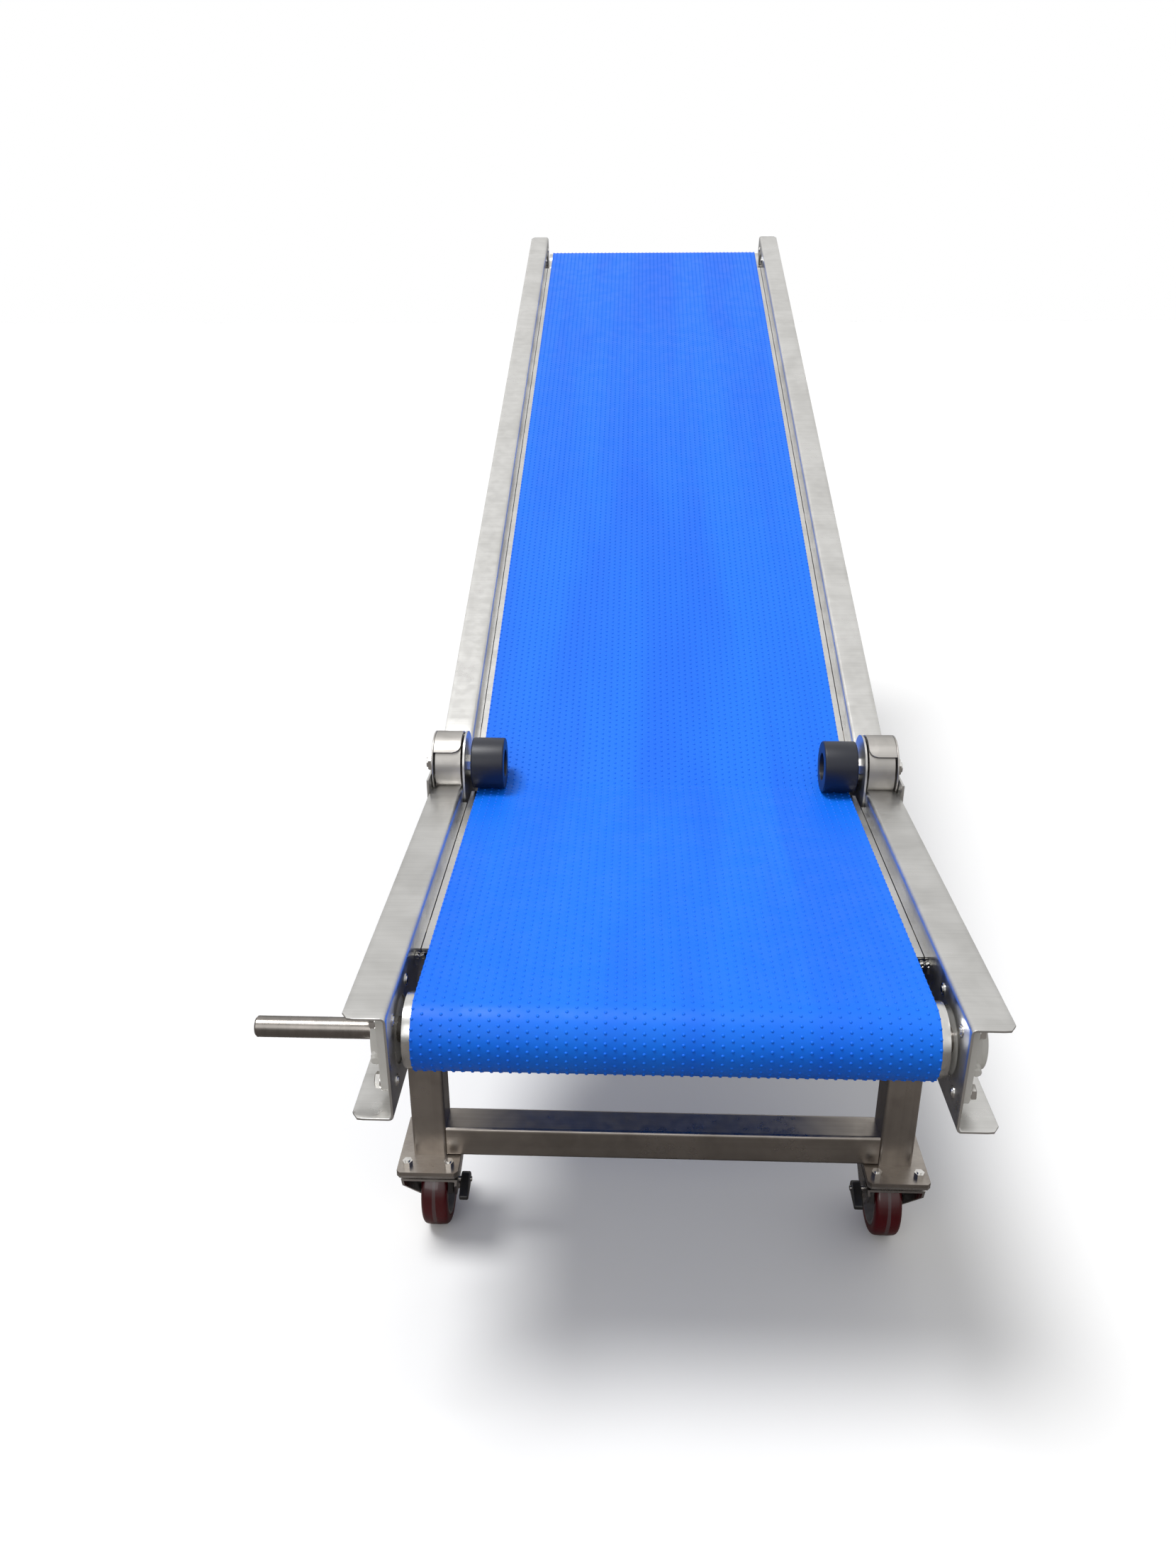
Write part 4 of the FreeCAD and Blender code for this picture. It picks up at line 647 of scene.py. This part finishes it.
def sideChannel(name, nodeName, side, onFrame, webSpan, flangeSpan, hole, slotRun, body, material):
    # The folded section is carried along the run. Where the shaft passes, a patch of the web's squares gives
    # way to a ring of strips from the patch's border to the opening's edge.
    webStart, webEnd = webSpan
    flangeStart, flangeEnd = flangeSpan
    cells, flangeCells = channel["cells"], channel["flangeCells"]
    thick = channel["thick"]
    web = channel["inner"] + thick / 2
    tip = channel["inner"] + channel["flange"]
    top, bottom = -thick / 2, -channel["height"] + thick / 2
    bend = channel["bend"] + thick / 2
    section = softCorners([(tip, top), (web, top), (web, bottom), (tip, bottom)], bend, 7, closed=False)
    reach, patch = channel["opening"], channel["patch"]
    levels = hole[2] + np.linspace(-patch, patch, cells + 1)
    upperPart = section[section[:, 1] > levels[-1] + tiny]
    lowerPart = section[section[:, 1] < levels[0] - tiny]
    flangeX = np.linspace(tip, upperPart[1][0], flangeCells + 1)[:-1]
    topFlange = np.column_stack([flangeX, np.full(flangeCells, top)])
    bottomFlange = np.column_stack([flangeX, np.full(flangeCells, bottom)])
    upperPart = np.concatenate([topFlange, upperPart[1:]])
    lowerPart = np.concatenate([lowerPart[:-1], bottomFlange[::-1]])
    middle = np.column_stack([np.full(cells + 1, web), levels[::-1]])
    section = np.concatenate([upperPart, middle, lowerPart])
    out = np.clip((section[:, 0] - web) / bend, 0, 1)
    corner = channel["corner"]
    nearTip = np.clip(section[:, 0] - (tip - corner), 0, corner)
    roundOff = corner - np.sqrt(corner ** 2 - nearTip ** 2)
    first = webStart + (flangeStart - webStart) * out + roundOff
    last = webEnd + (flangeEnd - webEnd) * out - roundOff
    low, high = hole[1] - patch - slotRun, hole[1] + patch
    ahead = np.linspace(0, 1, 25 if low - webStart > channel["longRun"] else 4)
    behind = np.linspace(0, 1, 25 if webEnd - high > channel["longRun"] else 4)
    cross = np.linspace(low, high, cells + 1 + 4 * int(slotRun > 0))
    rows = np.concatenate([first[:, None] + (low - first[:, None]) * ahead[None, :-1],
                           np.broadcast_to(cross, (len(section), len(cross))),
                           high + (last[:, None] - high) * behind[None, 1:]], axis=1)
    grid = np.stack([np.broadcast_to(side * section[:, :1], rows.shape), rows,
                     np.broadcast_to(section[:, 1:], rows.shape)], axis=-1)
    points, faces = gridPatch(grid)
    columns = rows.shape[1]
    topRow, leftColumn = len(upperPart), len(ahead) - 1
    rightColumn = leftColumn + len(cross) - 1
    faces = [face for face in faces if not (topRow <= face[0] // columns < topRow + cells
                                            and leftColumn <= face[0] % columns < rightColumn)]
    block = grid[topRow:topRow + cells + 1, leftColumn:rightColumn + 1]
    border = np.concatenate([block[0, :-1], block[:-1, -1], block[-1, :0:-1], block[:0:-1, 0]])
    offS, offN = border[:, 1] - hole[1], border[:, 2] - hole[2]
    centreS = np.clip(offS, -slotRun, 0.0)
    away = np.stack([offS - centreS, offN], axis=-1)
    away /= np.linalg.norm(away, axis=-1, keepdims=True)
    rim = border.copy()
    rim[:, 1] = hole[1] + centreS + reach * away[:, 0]
    rim[:, 2] = hole[2] + reach * away[:, 1]
    share = np.linspace(0, 1, 4)[:, None, None]
    ring = gridPatch(border + (rim - border) * share, closedV=True)
    patches = [(onFrame(points), faces), (onFrame(ring[0]), ring[1])]
    piece = makePiece(name, patches, materials[material], body, [nodeName], smooth=60)
    wall = piece.modifiers.new("sheet", "SOLIDIFY")
    wall.thickness = thick
    wall.offset = 0.0
    softEdges(piece, channel["edge"], 50)


driveHole = lowerPlace(driveAxis)
tailHole = upperPlace(tailAxis)
lowerStart = lowerFront - knee[1]
upperEnd = tailHole[1] + channel["pastTail"]
for sideName, side in sides.items():
    sideChannel(f"lowerChannel{sideName.capitalize()}", f"lower_channel_{sideName}", side, onLower,
                (lowerStart, -channel["webGap"]), (lowerStart, channel["lowerFlangeEnd"]), driveHole, 0.0,
                "lower_frame", "sheetLower")
    sideChannel(f"upperChannel{sideName.capitalize()}", f"upper_channel_{sideName}", side, onUpper,
                (channel["webGap"], upperEnd), (channel["upperFlangeStart"], upperEnd), tailHole,
                channel["slot"], "upper_frame", "sheetUpper")
print("channels made")

# Flanged bearing units
bearing = {"web": 0.321, "side": 0.108, "base": 0.014, "round": 0.012, "foot": 0.046, "boss": 0.0375,
           "face": 0.026, "sunk": 0.003, "edge": 0.001, "soft": 0.0008, "flare": 0.0022, "bevel": 0.0022,
           "bossNip": 0.0006, "mouth": 0.0285, "mouthDepth": 0.004, "cap": 0.0335, "capFace": 0.0345,
           "capRound": 0.0035, "dimple": 0.012}
greasePort = {"radius": 0.0056, "start": 0.03, "reach": 0.0500, "drop": 0.009, "out": 0.0185,
              "collar": 0.0012, "plug": 0.007, "edge": 0.001, "endNip": 0.0014, "strapHalf": 0.0011,
              "strapLong": 0.015, "strapThick": 0.0012, "strapRound": 0.0009, "strapBack": 0.004,
              "strapLean": 0.55}
bearingBolt = {"pitch": 0.083, "across": 0.017, "height": 0.0062, "washer": 0.010, "washerThick": 0.002,
               "endRing": 0.0075, "endPoint": 0.0048}


def bearingUnit(side, axis, up, capped):
    # A square foot, a boss that narrows in steps, and a plugged grease port facing along the run.
    spot = np.array([side * bearing["web"], axis[1], axis[2]])
    out = (side, 0.0, 0.0)
    along = np.cross((1.0, 0.0, 0.0), up)
    half = bearing["side"] / 2
    outline = softCorners([(-half, -half), (half, -half), (half, half), (-half, half)], bearing["round"], 9)
    made = [moved(slab(outline, bearing["base"]), spot, out, up)]
    base, face, boss, foot = bearing["base"], bearing["face"], bearing["boss"], bearing["foot"]
    edge, soft, flare, sunk = bearing["edge"], bearing["soft"], bearing["flare"], base - bearing["sunk"]
    sideline = [(sunk, 0), (sunk, foot), (base + edge, foot), (base + flare, foot - soft),
                (face - 4 * edge, boss + flare), (face - edge, boss + soft),
                (face, boss - bearing["bossNip"])]
    if capped:
        cap, top, dimple = bearing["cap"], bearing["capFace"], bearing["dimple"]
        sideline += [(face, cap + soft), (face + soft, cap), (top - 3 * edge, cap), (top - edge, cap - edge),
                     (top, cap - bearing["capRound"]), (top, dimple), (top - soft, dimple - edge),
                     (top - soft, 0)]
    else:
        mouth, deep = bearing["mouth"], bearing["mouthDepth"]
        sideline += [(face, mouth + edge), (face - edge, mouth), (face - deep, mouth), (face - deep, 0)]
    made.append(moved(turned(sideline, 64), spot, out, up))
    return made + greasePlug(side, spot, along, up)


def greasePlug(side, spot, along, up):
    # A short round neck along the run, and the strap that holds its plug lying over its end.
    port, reach, collar = greasePort["radius"], greasePort["reach"], greasePort["collar"]
    portSpot = spot + np.array([side * greasePort["out"], 0, 0]) - greasePort["drop"] * np.array(up)
    start, plug, edge = greasePort["start"], reach - greasePort["plug"], greasePort["edge"]
    neck = turned([(start, 0), (start, port + collar), (plug - edge, port + collar), (plug, port),
                   (reach - collar, port), (reach, port - greasePort["endNip"]), (reach, 0)], 28)
    half, long = greasePort["strapHalf"], greasePort["strapLong"]
    outline = softCorners([(-half, -edge), (half, -edge), (half, long), (-half, long)],
                          greasePort["strapRound"], 3)
    strap = slab(outline, greasePort["strapThick"])
    strapSpot = portSpot + (reach - greasePort["strapBack"]) * along
    lean = np.array(up) + np.array([-side * greasePort["strapLean"], 0.0, 0.0])
    return [moved(neck, portSpot, along, up), moved(strap, strapSpot, along, lean)]


def bearingBolts(side, axis, up):
    # Four bolts with their heads outside the foot and their ends as low rings inside the web.
    along = np.cross((1.0, 0.0, 0.0), up)
    ring, point = bearingBolt["endRing"], bearingBolt["endPoint"]
    end = turned([(-0.001, 0), (-0.001, ring), (0.0009, ring), (0.0014, ring - 0.0006),
                  (0.0014, point + 0.0008), (0.0004, point), (0.0020, point - 0.0002),
                  (0.0026, point - 0.001), (0.0026, 0)], 28)
    made = []
    for first in (-1, 1):
        for second in (-1, 1):
            offset = bearingBolt["pitch"] / 2 * (first * along + second * np.array(up))
            spot = np.array([0.0, axis[1], axis[2]]) + offset
            outside = spot + np.array([side * (bearing["web"] + bearing["base"]), 0, 0])
            made += hexBolt(outside, (side, 0, 0), up, bearingBolt["across"], bearingBolt["height"],
                            bearingBolt["washer"], bearingBolt["washerThick"])
            inside = spot + np.array([side * channel["inner"], 0, 0])
            made.append(moved(end, inside, (-side, 0, 0), up))
    return made


for sideName, side in sides.items():
    replaced = [f"front_bearing_{sideName}"] + (["front_bearing_cap"] if side > 0 else [])
    makePiece(f"frontBearing{sideName.capitalize()}", bearingUnit(side, driveAxis, upright, side > 0),
              materials["bearingWhite"], "lower_frame", replaced,
              bevel=bearing["bevel"])
makePiece("frontBearingBolts", bothSides(bearingBolts, driveAxis, upright), materials["boltSteel"],
          "lower_frame", ["front_bearing_bolts"])
makePiece("tailBearings", bothSides(bearingUnit, tailAxis, lift, True), materials["bearingWhite"], "take_up",
          ["tail_bearings", "tail_bearing_caps"], bevel=bearing["bevel"])
makePiece("tailBearingBolts", bothSides(bearingBolts, tailAxis, lift), materials["boltSteel"], "take_up",
          ["tail_bearing_bolts"])
print("bearing units made")

# Screws at the front ends of the bed's carriers
bedScrew = {"places": (0.3072, 0.3146), "drop": 0.030, "sink": 0.0005, "across": 0.0066, "length": 0.006,
            "washer": 0.0038, "washerThick": 0.001}


def bedScrews():
    # Two small hexagon heads side by side under each front end of the bed, facing the infeed.
    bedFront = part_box("lower_slider_bed")[0].y
    made = []
    for side in sides.values():
        for across in bedScrew["places"]:
            spot = (side * across, bedFront + bedScrew["sink"], deckTop - bedScrew["drop"])
            made += hexBolt(spot, (0, -1, 0), upright, bedScrew["across"], bedScrew["length"],
                            bedScrew["washer"], bedScrew["washerThick"])
    return made


makePiece("bedScrews", bedScrews(), materials["boltSteel"], "lower_frame")
print("bed screws made")

# Knee covers and hold-down wheels
cover = {"inner": 0.3215, "outer": 0.3640, "radius": 0.0515, "wall": 0.0025, "back": 64.3, "front": 208.2,
         "corner": 0.014, "discIn": 0.3645, "discOut": 0.3670, "discEdge": 0.0004, "discFace": 0.0006,
         "bevel": 0.0004}


def kneeCover(side):
    # Sheet rolled about the knee axle; the inboard corner of its front edge is cut to an arc.
    angle = incline + np.radians(np.linspace(cover["back"], cover["front"], 61))
    fromEnd = (angle[-1] - angle) * cover["radius"]
    corner = cover["corner"]
    short = np.clip(corner - fromEnd, 0, corner)
    inner = cover["inner"] + corner - np.sqrt(corner ** 2 - short ** 2)
    across = inner[:, None] + (cover["outer"] - inner)[:, None] * np.linspace(0, 1, 9)

    def rolled(radius):
        return np.stack([side * across, knee[1] + radius * np.sin(angle)[:, None] + 0 * across,
                         knee[2] - radius * np.cos(angle)[:, None] + 0 * across], axis=-1)

    sheet = shellPatch(rolled(cover["radius"]), rolled(cover["radius"] - cover["wall"]))
    low, high, rim = cover["discIn"], cover["discOut"], cover["radius"]
    edge, front = cover["discEdge"], cover["discFace"]
    disc = turned([(low, 0), (low, rim - edge), (low + edge, rim), (high - front, rim), (high, rim - front),
                   (high, 0)], 96)
    return [sheet, moved(disc, kneeCentre, (side, 0, 0), upright)]


holdDown = {"inner": 0.2545, "outer": 0.3065, "radius": 0.041, "recess": 0.022, "recessDepth": 0.014,
            "bore": 0.0083, "rimRound": 0.0026, "mouthRound": 0.0012, "boreRound": 0.0005,
            "floorRound": 0.001}


def holdDownWheel(side):
    # A plain barrel with soft rims and a stepped recess in its inboard face.
    low, high, rim = holdDown["inner"], holdDown["outer"], holdDown["radius"]
    deep, mouth, bore = holdDown["recessDepth"], holdDown["recess"], holdDown["bore"]
    radii = [holdDown["mouthRound"]] + [holdDown["rimRound"]] * 2 + [holdDown["boreRound"]] * 2
    radii.append(holdDown["floorRound"])
    outline = softCorners([(low, mouth), (low, rim), (high, rim), (high, bore), (low + deep, bore),
                           (low + deep, mouth)], radii, 7)
    patch = turned(outline.tolist() + outline[:1].tolist(), 96)
    return [moved(patch, kneeCentre, (side, 0, 0), upright)]


for sideName, side in sides.items():
    makePiece(f"kneeCover{sideName.capitalize()}", kneeCover(side), materials["kneeSheet"], "upper_frame",
              [f"knee_cover_{sideName}"], bevel=cover["bevel"])
    makePiece(f"holdDownWheel{sideName.capitalize()}", holdDownWheel(side), materials["wheelBlack"],
              f"hold_down_wheel_{sideName}", [f"hold_down_wheel_{sideName}"])
print("knee made")

# Caster wheels and brake pedals
caster = {"radius": 0.0625, "tread": 0.040, "tyre": 0.015, "round": 0.0075, "core": 0.046, "rim": 0.0045,
          "web": 0.009, "hub": 0.0165, "bore": 0.0063, "rimHalf": 0.0195, "gap": 0.0002, "fillet": 0.002,
          "edge": 0.001, "crownHalf": 0.006, "crownRound": 0.02}


def tyrePatch():
    # A crowned tread on round shoulders.
    half, rim = caster["tread"] / 2, caster["radius"]
    inner = rim - caster["tyre"]
    edge, crown, shoulder = caster["edge"], caster["crownHalf"], caster["round"]
    radii = [edge, shoulder, caster["crownRound"], caster["crownRound"], shoulder, edge]
    outline = softCorners([(-half, inner), (-half, rim - edge), (-crown, rim), (crown, rim),
                           (half, rim - edge), (half, inner)], radii, 8)
    return turned(outline.tolist() + outline[:1].tolist(), 96)


def corePatch():
    # A rim with two lips, a web and a hub that stands out to the fork.
    rim = caster["radius"] - caster["tyre"] - caster["gap"]
    half, web, hub, wide = caster["core"] / 2, caster["web"] / 2, caster["hub"], caster["rimHalf"]
    lip, fillet, edge = rim - caster["rim"], caster["fillet"], caster["edge"]
    leftHalf = [(-wide, rim), (-wide, lip), (-web, lip - fillet), (-web, hub + fillet), (-half + edge, hub),
                (-half, hub - edge), (-half, caster["bore"])]
    rightHalf = [(-along, radius) for along, radius in reversed(leftHalf)]
    return turned(leftHalf + rightHalf + leftHalf[:1], 72)


for joint in frame["joints"]:
    if joint["name"].startswith("roll_"):
        corner = joint["name"].removeprefix("roll_")
        label = "".join(word.capitalize() for word in corner.split("_"))
        spot = np.array(joint["pos_m"])
        makePiece(f"casterTyre{label}", [moved(tyrePatch(), spot, (1, 0, 0), upright)], materials["tyreRed"],
                  f"wheel_{corner}", [f"caster_wheel_{corner}"], smooth=50)
        makePiece(f"casterCore{label}", [moved(corePatch(), spot, (1, 0, 0), upright)], materials["coreGrey"],
                  f"wheel_{corner}", smooth=40)

pedal = {"boss": 0.011, "bossFrom": -105, "bossTo": 100, "reach": 0.034, "high": -0.005, "low": -0.0125,
         "round": 0.003, "soft": 0.0022}


def brakePedal(corner):
    # One flat lever: a round end on the pin and a blunt tip, as thick as the CAD lever is wide.
    low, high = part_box(f"brake_pedal_{corner}")
    pin = joints[f"brake_{corner}"]["pos_m"]
    angle = np.radians(np.linspace(pedal["bossFrom"], pedal["bossTo"], 25))
    boss = pedal["boss"] * np.column_stack([np.cos(angle), np.sin(angle)])
    tip = softCorners([boss[-1], (-pedal["reach"], pedal["high"]), (-pedal["reach"], pedal["low"]), boss[0]],
                      pedal["round"], 6, closed=False)
    return [moved(slab(np.concatenate([boss, tip[1:-1]]), high.x - low.x), (low.x, pin[1], pin[2]))]


for sideName in sides:
    corner = f"front_{sideName}"
    makePiece(f"brakePedal{sideName.capitalize()}", brakePedal(corner), materials["pedalBlack"],
              f"pedal_{corner}", [f"brake_pedal_{corner}"], bevel=pedal["soft"])
print("casters made")

# Clamp screws of the rear stand
knob = {"radius": 0.018, "length": 0.018, "lobes": 6, "lobeDepth": 0.10, "neck": 0.0095, "neckLength": 0.003,
        "shoulder": 0.004, "taper": 0.94, "eye": 0.0001, "rounds": (0, 0.001, 0.001, 0.002, 0.0035, 0),
        "shank": 0.005, "shankClear": 0.0003, "shankInto": 0.001}


def clampKnobs():
    # A lobed grip: the radius dips between the lobes wherever the profile is wide; the shank is a plain rod.
    low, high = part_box("rear_clamp_screws")
    level, depth = (low.z + high.z) / 2, (low.y + high.y) / 2
    wide, length, neck, shank = knob["radius"], knob["length"], knob["neck"], knob["shank"]
    profile = softCorners([(0, knob["eye"]), (0, neck), (knob["neckLength"], neck), (knob["shoulder"], wide),
                           (length, wide * knob["taper"]), (length, knob["eye"])], knob["rounds"], 6,
                          closed=False)
    made = []
    for side in sides.values():
        points, faces = turned(profile, 96)
        angle = np.arctan2(points[:, 2], points[:, 1])
        share = np.clip((np.hypot(points[:, 1], points[:, 2]) - neck) / (wide - neck), 0, 1)
        dip = 1 - knob["lobeDepth"] * share * (0.5 + 0.5 * np.cos(knob["lobes"] * angle))
        grip = points * np.column_stack([np.ones(len(dip)), dip, dip])
        spot = (side * (high.x - length), depth, level)
        made.append(moved((grip, faces), spot, (side, 0, 0), upright))
        tip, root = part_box("rear_post_frame")[1].x - high.x + length + knob["shankClear"], knob["shankInto"]
        rod = turned([(tip, 0), (tip, shank), (root, shank), (root, 0)], 28)
        made.append(moved(rod, spot, (side, 0, 0), upright))
    return made


makePiece("rearClampKnobs", clampKnobs(), materials["knobBlack"], "rear_sleeves",
          ["rear_clamp_screws"])
print("clamp knobs made")

# Camera, light and floor
camera = {"place": (-0.0537, -1.1198, 1.3619), "heading": -2.232, "pitch": -23.680, "roll": -0.217,
          "lens": 26.525, "sensor": 36.0}


def makeCamera():
    heading, pitch = math.radians(camera["heading"]), math.radians(camera["pitch"])
    aim = Vector((math.sin(heading) * math.cos(pitch), math.cos(heading) * math.cos(pitch), math.sin(pitch)))
    data = bpy.data.cameras.new("camera")
    data.sensor_fit = "VERTICAL"
    data.sensor_height = camera["sensor"]
    data.lens = camera["lens"]
    data.clip_end = 100.0
    eye = bpy.data.objects.new("camera", data)
    eye.location = camera["place"]
    turn = aim.to_track_quat("-Z", "Y").to_matrix() @ Matrix.Rotation(math.radians(camera["roll"]), 3, "Z")
    eye.rotation_euler = turn.to_euler()
    bpy.context.scene.collection.objects.link(eye)
    bpy.context.scene.camera = eye


studio = {"sky": 0.92, "skyTint": (1.0, 0.995, 0.985), "horizon": 0.34, "horizonAt": -0.05, "skyAt": 0.6,
          "matteShare": 0.62, "backdrop": 1.0, "floorReach": 40.0, "floorPale": (0.97, 0.97, 0.97),
          "floorBounce": (0.20, 0.185, 0.175), "sunFrom": (-0.30, -0.06, 1.0), "sunPower": 1.9,
          "sunSpread": 22.0, "fillPlace": (-1.6, -3.4, 2.8), "fillAim": (0.0, 0.3, 0.5),
          "fillSize": (2.4, 2.4), "fillPower": 24.0}


def seenOrNot(tree, rays, whenSeen, otherwise, output):
    # The camera sees one shader, and every other ray meets the other.
    mix = node(tree, "ShaderNodeMixShader", None, {0: rays.outputs["Is Camera Ray"], 1: otherwise.outputs[0],
                                                  2: whenSeen.outputs[0]})
    tree.links.new(mix.outputs[0], tree.nodes[output].inputs["Surface"])


def makeSky():
    # Brighter overhead than at the horizon, weaker on matte faces, and plain white behind the object.
    world = bpy.data.worlds.new("studioSky")
    bpy.context.scene.world = world
    world.use_nodes = True
    tree = world.node_tree
    base = tree.nodes["Background"]
    base.inputs["Color"].default_value = colour(*studio["skyTint"])
    place = node(tree, "ShaderNodeTexCoord").outputs["Generated"]
    height = node(tree, "ShaderNodeSeparateXYZ", None, {0: place}).outputs["Z"]
    ramp = node(tree, "ShaderNodeMapRange", {"interpolation_type": "SMOOTHSTEP"}, {
        "Value": height, "From Min": studio["horizonAt"], "From Max": studio["skyAt"],
        "To Min": studio["horizon"], "To Max": studio["sky"]})
    rays = node(tree, "ShaderNodeLightPath")
    share = node(tree, "ShaderNodeMapRange", None, {
        "Value": rays.outputs["Is Diffuse Ray"], "To Min": 1.0, "To Max": studio["matteShare"]})
    tree.links.new(math2(tree, "MULTIPLY", ramp.outputs[0], share.outputs[0]), base.inputs["Strength"])
    plain = node(tree, "ShaderNodeBackground", None, {
        "Color": colour(1.0, 1.0, 1.0), "Strength": studio["backdrop"]})
    seenOrNot(tree, rays, plain, base, "World Output")


def makeFloor():
    reach = studio["floorReach"]
    mesh = bpy.data.meshes.new("floor")
    mesh.from_pydata([(-reach, -reach, 0), (reach, -reach, 0), (reach, reach, 0), (-reach, reach, 0)], [],
                     [(0, 1, 2, 3)])
    floor = bpy.data.objects.new("floor", mesh)
    bpy.context.scene.collection.objects.link(floor)
    made = bpy.data.materials.new("paleFloor")
    made.use_nodes = True
    tree = made.node_tree
    pale = node(tree, "ShaderNodeBsdfDiffuse", None, {"Color": colour(*studio["floorPale"])})
    bounce = node(tree, "ShaderNodeBsdfDiffuse", None, {"Color": colour(*studio["floorBounce"])})
    seenOrNot(tree, node(tree, "ShaderNodeLightPath"), pale, bounce, "Material Output")
    mesh.materials.append(made)


def makeLights():
    # A soft sun from overhead and a square fill light in front.
    sun = bpy.data.lights.new("overhead", "SUN")
    sun.energy = studio["sunPower"]
    sun.angle = math.radians(studio["sunSpread"])
    high = bpy.data.objects.new("overhead", sun)
    high.rotation_euler = Vector(studio["sunFrom"]).to_track_quat("Z", "Y").to_euler()
    bpy.context.scene.collection.objects.link(high)
    area = bpy.data.lights.new("frontFill", "AREA")
    area.shape = "RECTANGLE"
    area.size, area.size_y = studio["fillSize"]
    area.energy = studio["fillPower"]
    front = bpy.data.objects.new("frontFill", area)
    front.location = studio["fillPlace"]
    aim = Vector(studio["fillAim"]) - front.location
    front.rotation_euler = aim.to_track_quat("-Z", "Y").to_euler()
    bpy.context.scene.collection.objects.link(front)


makeCamera()
makeSky()
makeFloor()
makeLights()
bpy.context.scene.view_settings.view_transform = "Standard"
print("studio made")
